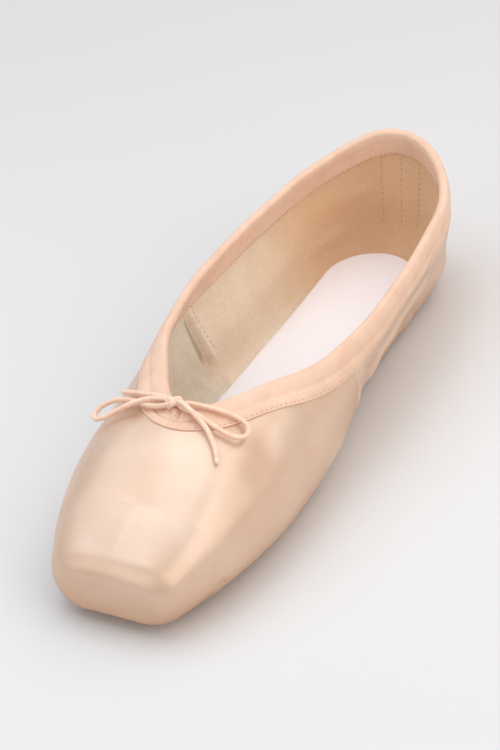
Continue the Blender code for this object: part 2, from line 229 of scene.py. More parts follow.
def softened(points: Array, times: int, closed: bool = True) -> Array:
    """Draw each row of a ring or a line towards its neighbours.

    Args:
        points: the rows, with a ring's first not repeated.
        times: how often it is done.
        closed: whether they are a ring.

    Returns:
        The softened rows, with a line's two ends kept.
    """
    for _ in range(times):
        drawn = 0.5 * points + 0.25 * (np.roll(points, 1, axis=0) + np.roll(points, -1, axis=0))
        points = drawn if closed else np.vstack([points[:1], drawn[1:-1], points[-1:]])
    return points


def to_frame(place: Array) -> Array:
    """Return places in the last's millimetres as places in the frame, in metres."""
    return (np.asarray(place, float) - (0, ORIGIN_RUN, 0)) * MM


def nearest_gaps(points: Array, line: Array) -> tuple[Array, Array]:
    """Find the nearest point of a line for each of some points.

    Args:
        points: the points to measure from.
        line: the line's points.

    Returns:
        The distances, and the numbers of the nearest points.
    """
    tree = KDTree(len(line))
    for i, place in enumerate(line):
        tree.insert(Vector(place), i)
    tree.balance()
    found = [tree.find(Vector(point)) for point in points]
    return np.array([gap for _, _, gap in found]), np.array([i for _, i, _ in found])


# --- surfaces ----------------------------------------------------------------------

def added(name: str, data: bpy.types.ID) -> Piece:
    """Add an object to the scene.

    Args:
        name: its name.
        data: its mesh, light or camera.

    Returns:
        The object.
    """
    thing = bpy.data.objects.new(name, data)
    bpy.context.scene.collection.objects.link(thing)
    return thing


@dataclass
class Surface:
    """A surface in millimetres, in the last's terms.

    Attributes:
        points: one row for each vertex.
        faces: each face's vertices, anticlockwise seen from outside.
        uvs: for each face, its corners' distances along and round the piece.
        marks: named values for each vertex, which the finishes read.
    """

    points: Array
    faces: list[tuple[int, ...]]
    uvs: list[tuple[tuple[float, float], ...]]
    marks: dict[str, Array] = field(default_factory=dict)

    def merged(self) -> "Surface":
        """Make the surface's coincident points one.

        Returns:
            The surface, with no face that has fewer than three corners left.
        """
        keys = np.round(self.points * 1e3).astype(np.int64)
        _, first, place = np.unique(keys, axis=0, return_index=True, return_inverse=True)
        place = place.reshape(-1)
        faces, uvs = [], []
        for face, pairs in zip(self.faces, self.uvs):
            corners = [(int(place[i]), pair) for i, pair in zip(face, pairs)]
            corners = [corner for k, corner in enumerate(corners) if corner[0] != corners[k - 1][0]]
            if len(corners) > 2 and len({i for i, _ in corners}) == len(corners):
                faces.append(tuple(i for i, _ in corners))
                uvs.append(tuple(pair for _, pair in corners))
        marks = {name: values[first] for name, values in self.marks.items()}
        return Surface(self.points[first], faces, uvs, marks)

    def corners(self) -> Array:
        """Return the vertices of the triangles that the faces fall into."""
        return np.array([(face[0], face[k], face[k + 1]) for face in self.faces
                         for k in range(1, len(face) - 1)])

    def normals(self) -> Array:
        """Average the faces' normals at each vertex.

        Returns:
            One unit normal for each vertex.
        """
        corners = self.corners()
        a, b, c = (self.points[corners[:, k]] for k in range(3))
        facing = np.cross(b - a, c - a)
        total = np.zeros_like(self.points)
        for k in range(3):
            np.add.at(total, corners[:, k], facing)
        return total / np.maximum(np.linalg.norm(total, axis=1), 1e-12)[:, None]

    def moved(self, points: Array) -> "Surface":
        """Return the surface with its vertices in other places."""
        return Surface(points, self.faces, self.uvs, self.marks)

    def turned(self) -> "Surface":
        """Return the surface with its faces reversed."""
        return Surface(self.points, [tuple(reversed(face)) for face in self.faces],
                       [tuple(reversed(pairs)) for pairs in self.uvs], self.marks)

    def outward(self) -> "Surface":
        """Return a closed surface, reversed if its volume is below 0."""
        a, b, c = self.points[self.corners()].swapaxes(0, 1)
        return self if np.sum(a * np.cross(b, c)) > 0 else self.turned()

    def towards(self, direction: Place) -> "Surface":
        """Return an open surface, reversed if it looks the other way on the whole."""
        return self if self.normals().sum(axis=0) @ direction > 0 else self.turned()

    def joined(self, other: "Surface") -> "Surface":
        """Put another surface beside this one.

        Args:
            other: the other surface.

        Returns:
            Both as one, with the marks that both have.
        """
        count = len(self.points)
        faces = self.faces + [tuple(i + count for i in face) for face in other.faces]
        marks = {name: np.concatenate([values, other.marks[name]])
                 for name, values in self.marks.items() if name in other.marks}
        return Surface(np.vstack([self.points, other.points]), faces, self.uvs + other.uvs, marks)

    def shell(self, inside: Array) -> "Surface":
        """Close the wall between this surface and the same vertices moved inside.

        Args:
            inside: the place of every vertex on the wall's other face.

        Returns:
            The closed surface, this one's vertices first.
        """
        count = len(self.points)
        other = self.turned()
        faces = self.faces + [tuple(i + count for i in face) for face in other.faces]
        uvs = self.uvs + other.uvs
        edges = {(face[k - 1], face[k]): (pairs[k - 1], pairs[k])
                 for face, pairs in zip(self.faces, self.uvs) for k in range(len(face))}
        for (a, b), (first, second) in edges.items():
            if (b, a) not in edges:
                faces.append((b, a, a + count, b + count))
                uvs.append((second, first, first, second))
        marks = {name: np.concatenate([values, values]) for name, values in self.marks.items()}
        return Surface(np.vstack([self.points, inside]), faces, uvs, marks)

    def tree(self) -> BVHTree:
        """Return a search tree of the surface."""
        return BVHTree.FromPolygons([Vector(point) for point in self.points], self.faces)

    def piece(self, name: str, material: Material) -> Piece:
        """Make the surface a piece in the frame's place, with its UV map and marks.

        Args:
            name: the piece's name.
            material: its finish.

        Returns:
            The new object, at the origin, with its place in its mesh.
        """
        mesh = bpy.data.meshes.new(name)
        mesh.from_pydata(to_frame(self.points).tolist(), [], self.faces)
        layer = mesh.uv_layers.new(name=UV_MAP)
        flat = np.array([value * MM for pairs in self.uvs for pair in pairs for value in pair], np.float32)
        layer.data.foreach_set("uv", flat)
        for mark, values in self.marks.items():
            attribute = mesh.attributes.new(mark, "FLOAT", "POINT")
            attribute.data.foreach_set("value", values.astype(np.float32))
        mesh.shade_smooth()
        mesh.materials.append(material)
        return added(name, mesh)


def grid(points: Array, uvs: Array, marks: dict[str, Array] | None = None) -> Surface:
    """Lay a surface of quads through a grid of points.

    Its outside is where a step to the next row crossed with a step to the next column
    points. A ring or a tube repeats its first row or column, and is merged afterwards.

    Args:
        points: rows by columns by three.
        uvs: rows by columns by two.
        marks: named values, rows by columns.

    Returns:
        The surface, its vertices row by row.
    """
    rows, columns = points.shape[:2]
    pairs = [tuple(map(float, pair)) for pair in uvs.reshape(-1, 2)]
    faces = [(i * columns + j, (i + 1) * columns + j, (i + 1) * columns + j + 1, i * columns + j + 1)
             for i in range(rows - 1) for j in range(columns - 1)]
    flat = {name: values.reshape(-1) for name, values in (marks or {}).items()}
    return Surface(points.reshape(-1, 3), faces, [tuple(pairs[i] for i in face) for face in faces], flat)


def grid_uvs(points: Array, along: Array) -> Array:
    """Measure a grid of points along and round its piece.

    Args:
        points: rows by columns by three.
        along: each row's distance along the piece.

    Returns:
        Each point's two distances, rows by columns by two.
    """
    steps = np.linalg.norm(np.diff(points, axis=1), axis=2)
    around = np.concatenate([np.zeros((len(points), 1)), np.cumsum(steps, axis=1)], 1)
    return np.stack([np.repeat(along[:, None], points.shape[1], axis=1), around], 2)


def tube(line: Array, radius: Array, closed: bool = False) -> Surface:
    """Make a round tube along a line, with rounded ends unless it is closed.

    Args:
        line: the points of its centre line, the first repeated at the end of a ring.
        radius: its radius for each point and side, points by sides.
        closed: whether the line is a ring.

    Returns:
        The tube's surface.
    """
    tangents = unit(ring_steps(line) if closed else np.gradient(line, axis=0))
    across = np.cross(tangents[0], (0.0, 0.0, 1.0))
    if np.linalg.norm(across) < 0.1:
        across = np.cross(tangents[0], (1.0, 0.0, 0.0))
    frames = []
    for tangent in tangents:
        across = across - tangent * np.dot(across, tangent)
        across = across / np.linalg.norm(across)
        frames.append((across, np.cross(tangent, across)))
    last, start = frames[-1][0], frames[0]
    twist = math.atan2(float(np.dot(last, start[1])), float(np.dot(last, start[0]))) if closed else 0.0
    sides = radius.shape[1]
    angles = np.linspace(0, 2 * math.pi, sides + 1)
    run = run_lengths(line)
    around = angles * float(np.mean(radius))
    rings, uvs = [], []
    for i, (point, (side, up)) in enumerate(zip(line, frames)):
        turned = (angles - twist * i / (len(line) - 1))[:, None]
        reach = np.append(radius[i], radius[i][0])[:, None]
        rings.append(point + reach * (np.cos(turned) * side + np.sin(turned) * up))
        uvs.append(np.stack([np.full(sides + 1, run[i]), around], 1))
    if not closed:
        caps = np.radians((30, 60, 90))
        near, far = float(np.mean(radius[0])), float(np.mean(radius[-1]))
        first = [line[0] - near * math.sin(a) * tangents[0] + math.cos(a) * (rings[0] - line[0])
                 for a in reversed(caps)]
        final = [line[-1] + far * math.sin(a) * tangents[-1] + math.cos(a) * (rings[-1] - line[-1])
                 for a in caps]
        rings = first + rings + final
        uvs = [uvs[0]] * 3 + uvs + [uvs[-1]] * 3
    return grid(np.array(rings), np.array(uvs)).merged().outward()


# --- the last ----------------------------------------------------------------------

# Half widths are shares of half the ball width, and heights are shares of the instep's. The
# lift and the wall's thickness are in millimetres, the flare and the lean in degrees, and
# rise and crown say how far the wall keeps them. The back's widths run along the shoe.
COLUMNS = ("run", "lift", "slot", "bed", "girth", "edge", "girth_z", "edge_z", "crown_z",
           "flare", "lean", "rise", "crown", "wall")
HEEL_RUN = 0.848
HEEL_TOP = 50.5 / 47.0
STATIONS = {
    "platform":  (0.00, 1.2, 0.00, 0.37, 0.565, 0.00, 0.30, 0.52, 0.52, 0, 90, 0.40, 0.62, 2.6),
    "box":       (0.10, 0.2, 0.00, 0.53, 0.825, 0.00, 0.32, 0.76, 0.76, 0, 90, 0.38, 0.61, 2.6),
    "wing":      (0.19, 0.0, 0.43, 0.67, 0.95, 0.00, 0.34, 0.93, 0.93, 0, 90, 0.36, 0.56, 2.4),
    "throat":    (0.26, 0.0, 0.52, 0.75, 1.00, 0.00, 0.36, 1.00, 1.00, 0, 90, 0.34, 0.50, 2.0),
    "ball":      (0.34, 0.0, 0.53, 0.76, 1.00, 0.48, 0.36, 1.00, 1.05, 1, 70, 0.33, 0.50, 1.8),
    "instep":    (0.46, 0.7, 0.45, 0.67, 0.93, 0.83, 0.34, 0.915, 1.10, 5, 40, 0.33, 0.50, 1.7),
    "waist":     (0.59, 2.2, 0.33, 0.545, 0.775, 0.935, 0.35, 0.91, 1.12, 11, 20, 0.33, 0.50, 1.7),
    "quarter":   (0.71, 0.7, 0.29, 0.52, 0.73, 0.915, 0.35, 0.90, 1.12, 11, 12, 0.33, 0.50, 1.7),
    "heel_side": (HEEL_RUN, 0.0, 0.28, 0.51, 0.735, 0.83, 0.35, 0.895, 1.12, 7, 10, 0.33, 0.50, 1.8),
    "heel_back": (HEEL_RUN, 0.0, 0.39, 0.60, 0.955, 1.03, 0.38, HEEL_TOP, HEEL_TOP, 5, 3, 0.33, 0.50, 1.9),
}
WIDTHS = ("slot", "bed", "girth", "edge")
HEIGHTS = ("girth_z", "edge_z", "crown_z")
OPENINGS = ("slot", "edge")


@dataclass
class Last:
    """The straight last that every piece takes its shape from.

    Attributes:
        length: from the platform to the back of the heel.
        ball_width: over the satin at the ball.
        instep_height: of the collar at the throat, over the floor.
        platform_edge: radius of the platform's rounded edge.
        sole_top: height of the flat bed over the floor.
        squareness: exponent of the heel's plan, 2 for an ellipse.
        roundness: how far the lower turn of the wall bellies out.
        bed, turn, wall: columns across the bed, the lower turn and the wall.
        row_step: distance between rows.
        easing: how far a station's change is spread along the shoe.
        samples: places along the shoe where the stations' curves are read.
        fan_step: angle between the rows of the heel's fan, in degrees.
    """

    length: float = 236.0
    ball_width: float = 77.0
    instep_height: float = 47.0
    platform_edge: float = 6.0
    sole_top: float = 2.7
    squareness: float = 2.2
    roundness: float = 0.55
    bed: int = 7
    turn: int = 14
    wall: int = 50
    row_step: float = 1.0
    easing: float = 6.0
    samples: int = 801
    fan_step: float = 2.5

    def __post_init__(self) -> None:
        """Read the stations' table into millimetres, and spread its changes along the shoe."""
        rows = {}
        for name, row in STATIONS.items():
            sizes = dict(zip(COLUMNS, row))
            sizes["run"] *= self.length
            sizes.update({key: sizes[key] * self.ball_width / 2 for key in WIDTHS})
            sizes.update({key: sizes[key] * self.instep_height for key in HEIGHTS})
            sizes["bed_z"] = self.sole_top + sizes["lift"]
            rows[name] = sizes
        self.heel_back: dict[str, float] = rows.pop("heel_back")
        self.rows: dict[str, dict[str, float]] = rows
        self.table = {key: np.array([row[key] for row in rows.values()]) for key in rows["throat"]}
        self.fan_centre: float = HEEL_RUN * self.length
        self.fine = np.linspace(0, self.fan_centre, self.samples)
        pad = round(2 * self.easing / self.fine[1])
        weights = np.cos(np.linspace(-math.pi / 2, math.pi / 2, 2 * pad + 1))**2
        self.eased = {}
        for name, column in self.table.items():
            values = np.array([smooth(self.table["run"], column, y) for y in self.fine])
            padded = np.concatenate([2 * values[0] - values[pad:0:-1], values,
                                     2 * values[-1] - values[-2:-pad - 2:-1]])
            self.eased[name] = np.convolve(padded, weights / weights.sum(), "valid")

    def sizes_at(self, y: float) -> dict[str, float]:
        """Read a section's sizes, before the heel's fan.

        Args:
            y: its distance along the shoe.

        Returns:
            Each of the stations' sizes, in millimetres and degrees.
        """
        sizes = {}
        runs = self.table["run"]
        for name, column in self.table.items():
            if name in OPENINGS:
                first = int(np.flatnonzero(column == 0)[-1])
                opened = y > runs[first]
                sizes[name] = math.sqrt(smooth(runs[first:], column[first:]**2, y)) if opened else 0.0
            else:
                sizes[name] = float(np.interp(y, self.fine, self.eased[name]))
        sizes["run"] = y
        if y < self.platform_edge:
            edge = self.platform_edge
            inset = edge - math.sqrt(edge**2 - (edge - y)**2)
            sizes["girth"] -= inset
            sizes["bed"] -= inset
            sizes["crown_z"] -= 0.9 * inset
            sizes["bed_z"] += 0.5 * inset
        return sizes

    def wall_curve(self, sizes: dict[str, float], end: Array, angle: float) -> Array:
        """Lay the curve of the wall above its girth.

        Args:
            sizes: the section's sizes.
            end: the place of the wall's upper end.
            angle: the wall's lean at that end, in degrees.

        Returns:
            The curve's four control points.
        """
        girth = np.array([sizes["girth"], sizes["girth_z"]])
        reach = np.linalg.norm(end - girth)
        flare, lean = math.radians(sizes["flare"]), math.radians(angle)
        start = girth + sizes["rise"] * reach * np.array([math.sin(flare), math.cos(flare)])
        shoulder = end + sizes["crown"] * reach * np.array([math.sin(lean), -math.cos(lean)])
        return np.array([girth, start, shoulder, end])

    def section(self, sizes: dict[str, float]) -> Array:
        """Draw a half section.

        Args:
            sizes: the section's sizes.

        Returns:
            Its points, from the slot underneath to the collar or the crown.
        """
        bed = np.array([sizes["bed"], sizes["bed_z"]])
        girth = np.array([sizes["girth"], sizes["girth_z"]])
        out, up = girth - bed
        flat = np.stack([np.linspace(sizes["slot"], sizes["bed"], self.bed),
                         np.full(self.bed, sizes["bed_z"])], 1)
        belly = girth - self.roundness * up * np.array([math.tan(math.radians(sizes["flare"])), 1])
        lower = even_bezier(np.array([bed, bed + (self.roundness * out, 0), belly, girth]), self.turn)
        closed = self.wall_curve(sizes, np.array([0, sizes["crown_z"]]), 90)
        free = self.wall_curve(sizes, np.array([sizes["edge"], sizes["edge_z"]]), sizes["lean"])
        throat, instep = self.rows["throat"]["run"], self.rows["instep"]["run"]
        share = float(ease(throat, instep, sizes["run"]))
        upper = even_bezier((1 - share) * cut_bezier(closed, sizes["edge"]) + share * free, self.wall)
        return np.vstack([flat, lower, upper])

    def places(self) -> Array:
        """Space the rows.

        Returns:
            Their distances along the shoe, close at the toe, the slot and the throat.
        """
        toe = self.platform_edge * (1 - np.cos(np.radians(np.linspace(0, 90, 10))))
        box, throat = self.rows["box"]["run"], self.rows["throat"]["run"]
        opening = 0.12 * np.arange(1, 8)**2

        def even(start: float, end: float) -> Array:
            """Return even steps between two places, the first left out."""
            return np.linspace(start, end, max(2, round((end - start) / self.row_step) + 1))[1:]

        return np.concatenate([toe, even(toe[-1], box), box + opening, even(box + opening[-1], throat),
                               throat + opening, even(throat + opening[-1], self.fan_centre)])

    @cached_property
    def half(self) -> tuple[Array, Array, Array, Array]:
        """Draw the right half.

        Returns:
            Its points by row and column, and each row's station, wall and whether it has a collar.
        """
        sizes = [self.sizes_at(y) for y in self.places()]
        rows = []
        for size in sizes:
            section = self.section(size)
            rows.append(np.stack([section[:, 0], np.full(len(section), size["run"]), section[:, 1]], 1))
        side, back = self.section(self.rows["heel_side"]), self.section(self.heel_back)
        taper = side[:, 0] - self.section(self.sizes_at(self.fan_centre - 1))[:, 0]
        angles = np.arange(self.fan_step, 90.1, self.fan_step)
        for angle in np.radians(angles):
            across, along = (abs(part)**(2 / self.squareness) for part in (math.cos(angle), math.sin(angle)))
            height = side[:, 1] + (back[:, 1] - side[:, 1]) * math.sin(angle)**3
            behind = back[:, 0] * along
            wide = (side[:, 0] + taper * behind) * across
            rows.append(np.stack([wide, self.fan_centre + behind, height], 1))
        rows[-1][:, 0] = 0.0
        stations = np.concatenate([[size["run"] for size in sizes], self.fan_centre + 0.55 * angles])
        fan = len(angles)
        walls = np.concatenate([[size["wall"] for size in sizes], np.full(fan, self.heel_back["wall"])])
        collar = np.concatenate([[size["edge"] > 0 for size in sizes], np.ones(fan, bool)])
        return np.array(rows), stations, walls, collar

    def surface(self) -> Surface:
        """Join both halves and the platform's face.

        Returns:
            The whole outer surface.
        """
        rows, stations, walls, _ = self.half
        wall = np.repeat(walls[:, None], rows.shape[1], axis=1)
        right = grid(rows, grid_uvs(rows, stations), {"wall": wall})
        left = right.moved(right.points * MIRROR).turned()
        outline = np.vstack([rows[0], rows[0, -2::-1] * MIRROR])
        middle = np.array([0.0, 0.0, outline[:, 2].mean()])
        shares = np.linspace(1, 0, 16)[:, None, None]
        toe = middle + shares * (outline - middle)
        toe_uvs = np.stack([toe[:, :, 2] - outline[:, 2].max(), toe[:, :, 0]], 2)
        cap = grid(toe, toe_uvs, {"wall": np.full(toe.shape[:2], walls[0])}).towards((0, -1, 0))
        return right.joined(left).joined(cap).merged()

    def collar(self) -> Array:
        """Trace the collar's edge.

        Returns:
            A ring: throat, right side, heel and left side.
        """
        rows, _, _, opened = self.half
        right = rows[int(np.flatnonzero(~opened)[-1]):, -1]
        return np.vstack([right, right[-2::-1] * MIRROR])

    def bed_height(self, y: float) -> float:
        """Return the height of the upper's underside at a distance along the shoe."""
        return self.sizes_at(min(y, self.fan_centre))["bed_z"]


@dataclass(frozen=True)
class Outline:
    """A sole's symmetric outline, and the section of its edge.

    Attributes:
        table: half widths as shares of half the ball width, by share of the length.
        profile: insets from the outline and heights over the underside, lowest first.
        tip: distance of its front end from the platform.
        nose: length over which the front end rounds.
    """

    table: dict[str, tuple[float, float]]
    profile: tuple[tuple[float, float], ...]
    tip: float
    nose: float = 12.0

    def stations(self, last: Last, step: float = 2.0) -> Array:
        """Trace the outline from its front end back.

        Args:
            last: the last that the shares are of.
            step: distance between stations.

        Returns:
            Pairs of distance along the shoe and half width, ending near the heel's tip.
        """
        runs, widths = np.array(list(self.table.values())).T * ((last.length,), (last.ball_width / 2,))
        pairs = []
        for angle in np.radians(np.linspace(3, 90, 16)):
            y = self.tip + self.nose * (1 - math.cos(angle))
            reach = math.sqrt(1 - ((self.tip + self.nose - y) / self.nose)**2)
            pairs.append((y, smooth(runs, widths, max(y, runs[0])) * reach**0.7))
        start = self.tip + self.nose
        for y in np.linspace(start, runs[-1], round((runs[-1] - start) / step) + 1)[1:]:
            pairs.append((float(y), smooth(runs, widths, max(float(y), runs[0]))))
        heel = pairs[-1][1]
        for angle in np.radians(np.linspace(0, 88, 18)[1:]):
            pairs.append((runs[-1] + heel * math.sin(angle), heel * math.cos(angle)))
        return np.array(pairs)

    def edge(self, last: Last, height: float) -> Array:
        """Return the right half of the outline as a line at a height, from the tip back."""
        pairs = self.stations(last, 1.0)
        return np.stack([pairs[:, 1], pairs[:, 0], np.full(len(pairs), height)], 1)


OUTSOLE = Outline(
    {"toe": (0.10, 0.47), "ball": (0.33, 0.69), "instep": (0.46, 0.60), "waist": (0.60, 0.47),
     "heel": (0.862, 0.48)},
    ((1.6, 0.0), (0.9, 0.12), (0.35, 0.5), (0.05, 1.0), (0.0, 1.5), (0.1, 2.1), (0.4, 2.4)), tip=12.0)
INSOLE = Outline(
    {"toe": (0.10, 0.42), "ball": (0.33, 0.60), "instep": (0.46, 0.535), "waist": (0.60, 0.475),
     "heel": (0.862, 0.485)},
    ((0.3, 0.0), (0.05, 0.3), (0.0, 0.8), (0.12, 1.25), (0.5, 1.52), (1.2, 1.6)), tip=9.0)


# --- folds and gathers -------------------------------------------------------------

@dataclass(frozen=True)
class Fold:
    """A soft ridge or trough laid on the upper.

    Attributes:
        line: points that it passes near, in millimetres.
        height: of its ridge, below 0 for a trough.
        width: its half width.
        layer: the layer that it moves.
        profile: its cross shape.
        fade: share of its length over which each end dies away.
        mirrored: whether the other side has it too.
    """

    line: tuple[Place, ...]
    height: float
    width: float
    layer: Layer = Layer.CLOTH
    profile: Profile = Profile.SOFT
    fade: float = 0.35
    mirrored: bool = False

    def heights(self, points: Array, tree: BVHTree) -> Array:
        """Work out how far the fold lifts each point.

        Args:
            points: the surface's points.
            tree: the surface's search tree, on which the line is laid.

        Returns:
            One height for each point.
        """
        total = np.zeros(len(points))
        for flip in BOTH_SIDES if self.mirrored else BOTH_SIDES[:1]:
            curve = splined(np.array(self.line) * flip, 0.25)
            laid = np.array([tree.find_nearest(Vector(place))[0] for place in curve])
            reach = 3 * self.width
            near = np.all((points > laid.min(axis=0) - reach) & (points < laid.max(axis=0) + reach), axis=1)
            gaps, place = nearest_gaps(points[near], laid)
            share = place / (len(laid) - 1)
            shape = np.exp(-(gaps / self.width)**2) if self.profile is Profile.SOFT else \
                1 - ease(0.75 * self.width, 1.15 * self.width, gaps)
            total[near] += self.height * shape * ease(0, self.fade, share) * ease(0, self.fade, 1 - share)
        return total


SEAM_LINE: tuple[Place, ...] = ((36.4, 113.0, 40.0), (36.2, 115.5, 36.6), (35.8, 118.8, 29.5),
                                (34.7, 122.2, 21.9), (31.5, 125.5, 13.0), (26.0, 127.8, 6.0),
                                (21.0, 128.5, 4.8))

FOLDS: dict[str, Fold] = {
    "box ridge right": Fold(((9, 64, 46.5), (16.4, 52, 43.1), (20.7, 42.8, 39.6), (22.7, 33.4, 35.7),
        (23.2, 23.7, 31.6), (22.8, 12.8, 26), (20.5, 4, 22)), 0.45, 5.5, Layer.WALL, fade=0.25),
    "box ridge left": Fold(((-11, 62, 46), (-18, 50, 42.4), (-21.2, 40, 38.6), (-22.6, 30, 34.4),
        (-22.9, 18, 29), (-21, 6, 22.6)), 0.4, 5.5, Layer.WALL, fade=0.25),
    "vamp face": Fold(((-1, 46, 43), (-0.5, 32, 38), (0, 18, 31)), -0.4, 13, Layer.WALL),
    "side hollow": Fold(((27.5, 44, 33), (29.5, 55.6, 36), (28.4, 63, 38.6), (26.6, 71, 41.4)), -0.5, 5,
        Layer.WALL),
    "side roll": Fold(((33.5, 60, 32.5), (32, 68, 36.2), (31.4, 77, 38), (33, 87, 37)), 0.6, 4.5),
    "tape roll": Fold(((20.5, 68.5, 44), (25.5, 77, 42.3), (30.5, 87, 39.4)), 0.7, 2.4),
    "bow hollow right": Fold(((11, 55, 45.5), (16, 60, 45), (20, 64, 43.8)), -0.5, 3, Layer.WALL),
    "bow hollow left": Fold(((-12, 54, 45), (-19, 57.5, 43.6), (-25, 63, 41.6)), -0.6, 3.2, Layer.WALL),
    "pleat tick": Fold(((30.2, 19.5, 13.4), (30.9, 22, 11.9), (31.2, 24.5, 10.4)), -0.6, 0.55, fade=0.3),
    "pleat tick low": Fold(((27.2, 14, 9.6), (28.2, 17, 8.4), (29, 20.5, 7.4)), -0.4, 0.6, fade=0.3),
    "side seam": Fold(SEAM_LINE, 0.35, 2.7, profile=Profile.BAND, fade=0.02, mirrored=True),
    "arch roll": Fold(((33.6, 131, 24), (31.6, 136, 15), (30.6, 143, 12.5), (30, 152, 16),
        (29.8, 162, 15), (29.4, 172, 20), (29.8, 184, 22), (30, 196, 17)), 1.5, 2.5, fade=0.15,
        mirrored=True),
    "arch hollow": Fold(((34, 133, 30), (32.6, 140, 21), (31.8, 150, 22.5), (31, 160, 21.5),
        (30.4, 172, 26.5), (30.4, 186, 28), (30.2, 200, 22)), -0.5, 3, fade=0.2, mirrored=True),
    "arch roll high": Fold(((35.4, 129, 33), (34, 138, 28), (33.2, 148, 28.5), (32.6, 158, 31.5)), 0.5, 3,
        mirrored=True),
    "arch branch": Fold(((30.8, 141, 13.5), (32, 148, 21), (33, 154, 28), (33.4, 158, 33)), 0.7, 2,
        mirrored=True),
    "quarter roll": Fold(((30.2, 176, 22), (30.6, 188, 29), (30.2, 198, 31), (28.4, 208, 29)), 0.6, 3,
        mirrored=True),
    "quarter crease": Fold(((30.4, 168, 10.5), (29.8, 178, 12.5), (29.4, 189, 11)), -0.6, 1.5,
        mirrored=True),
    "right pinch": Fold(((33.2, 133, 18), (31.6, 138, 11), (29.6, 142, 7.5)), -0.7, 1.4),
    "left pinch": Fold(((-33.6, 136, 20), (-31.4, 142, 11.5), (-29.4, 148, 7.5)), -0.6, 1.6),
    "left quarter drag": Fold(((-33.4, 150, 33), (-31.6, 168, 27), (-30.4, 186, 15)), 0.5, 2.8),
    "heel roll": Fold(((29.2, 200, 15), (27.8, 209, 13), (24.6, 219, 12), (18, 227, 12)), 0.7, 2.6,
        mirrored=True),
    "heel hollow": Fold(((28, 196, 9), (26.6, 207, 8), (22, 219, 7.5)), -0.4, 2, mirrored=True),
    "heel dent": Fold(((22, 224, 24), (16.5, 229, 17), (12.5, 231, 11)), -0.5, 2.6, mirrored=True),
    "ball roll": Fold(((36.8, 84, 9), (37.8, 93, 13), (37, 103, 11), (34.6, 112, 8)), 0.6, 2.6,
        mirrored=True),
    "lining fold": Fold(((-35.6, 129.6, 37), (-34.4, 129, 29.5), (-32.6, 129, 23), (-30.6, 129.6, 17),
        (-28, 131, 10)), -2.6, 1.8, Layer.LINING, fade=0.25),
    "lining fold shade": Fold(((-35.6, 127.2, 36.5), (-34.2, 126.3, 29), (-32.4, 125.9, 22.5),
        (-30.2, 126.1, 15.5), (-28.4, 126.8, 11)), 0.9, 1, Layer.LINING, fade=0.3),
    "lining crease": Fold(((-31.2, 119.8, 13), (-29, 121, 9), (-25.6, 121.8, 6.5)), -0.7, 1.3,
        Layer.LINING),
    "lining slack": Fold(((-27, 132, 9), (-22, 129, 6.2), (-16, 123, 5.2)), -0.6, 1.8, Layer.LINING),
    "lining heel bulge left": Fold(((-25.5, 200, 13), (-22, 214, 12.5), (-12, 228, 13.5)), -0.9, 3.2,
        Layer.LINING),
    "lining heel bulge right": Fold(((25.5, 202, 12), (21, 216, 13.5), (13, 227, 12.5)), -0.7, 3,
        Layer.LINING),
    "lining heel slack": Fold(((-25, 207, 27), (-17, 224, 26), (-5, 232, 28)), -0.6, 3.4, Layer.LINING),
    "lining heel roll": Fold(((-26, 196, 20), (-27.6, 178, 17), (-28.6, 160, 19)), -0.6, 5, Layer.LINING),
}

GATHERED_MOUTH: tuple[Fold, ...] = (
    Fold(((-12, 59.6, 47.3), (-6, 57.6, 47.8), (-2, 57, 48), (3, 57.4, 47.9), (8, 59.2, 47.4)), 0.5, 4,
         fade=0.3),
    Fold(((-11, 60, 47.3), (-8.4, 57.4, 47.3), (-5.4, 55.6, 47.2), (-1.6, 54.9, 47.2), (2.4, 55.4, 47.2),
         (5.4, 57.2, 47.3), (7.6, 59.6, 47.3)), -0.75, 0.5, fade=0.12),
    Fold(((-2.6, 60.4, 48.9), (-1.9, 58.2, 48.3), (-1.2, 55.4, 47.4)), 0.9, 0.7, fade=0.15),
    Fold(((-4.8, 60.2, 48.6), (-3.2, 58.8, 48.4), (-1.9, 58, 48.2)), 0.5, 0.6, fade=0.2),
    Fold(((-0.5, 60.2, 48.8), (0, 58, 48.2), (0.4, 55.6, 47.4)), -1, 0.6, fade=0.15),
    Fold(((-3.9, 59.2, 48.6), (-3.3, 57.6, 48.1), (-2.6, 55.6, 47.4)), -0.75, 0.55, fade=0.15),
    Fold(((-5.4, 60.2, 48.6), (-6, 58.4, 48), (-5.8, 56.4, 47.4)), -0.4, 0.5),
    Fold(((-6.6, 60.6, 48.4), (-8, 59.4, 47.8), (-8.6, 58.2, 47.3)), -0.3, 0.5),
    Fold(((1.2, 60.2, 48.6), (2, 58.4, 48), (2.4, 56.4, 47.4)), -0.4, 0.5),
    Fold(((2.8, 60.6, 48.4), (4.4, 59.2, 47.8), (5.2, 58, 47.3)), -0.3, 0.5),
)


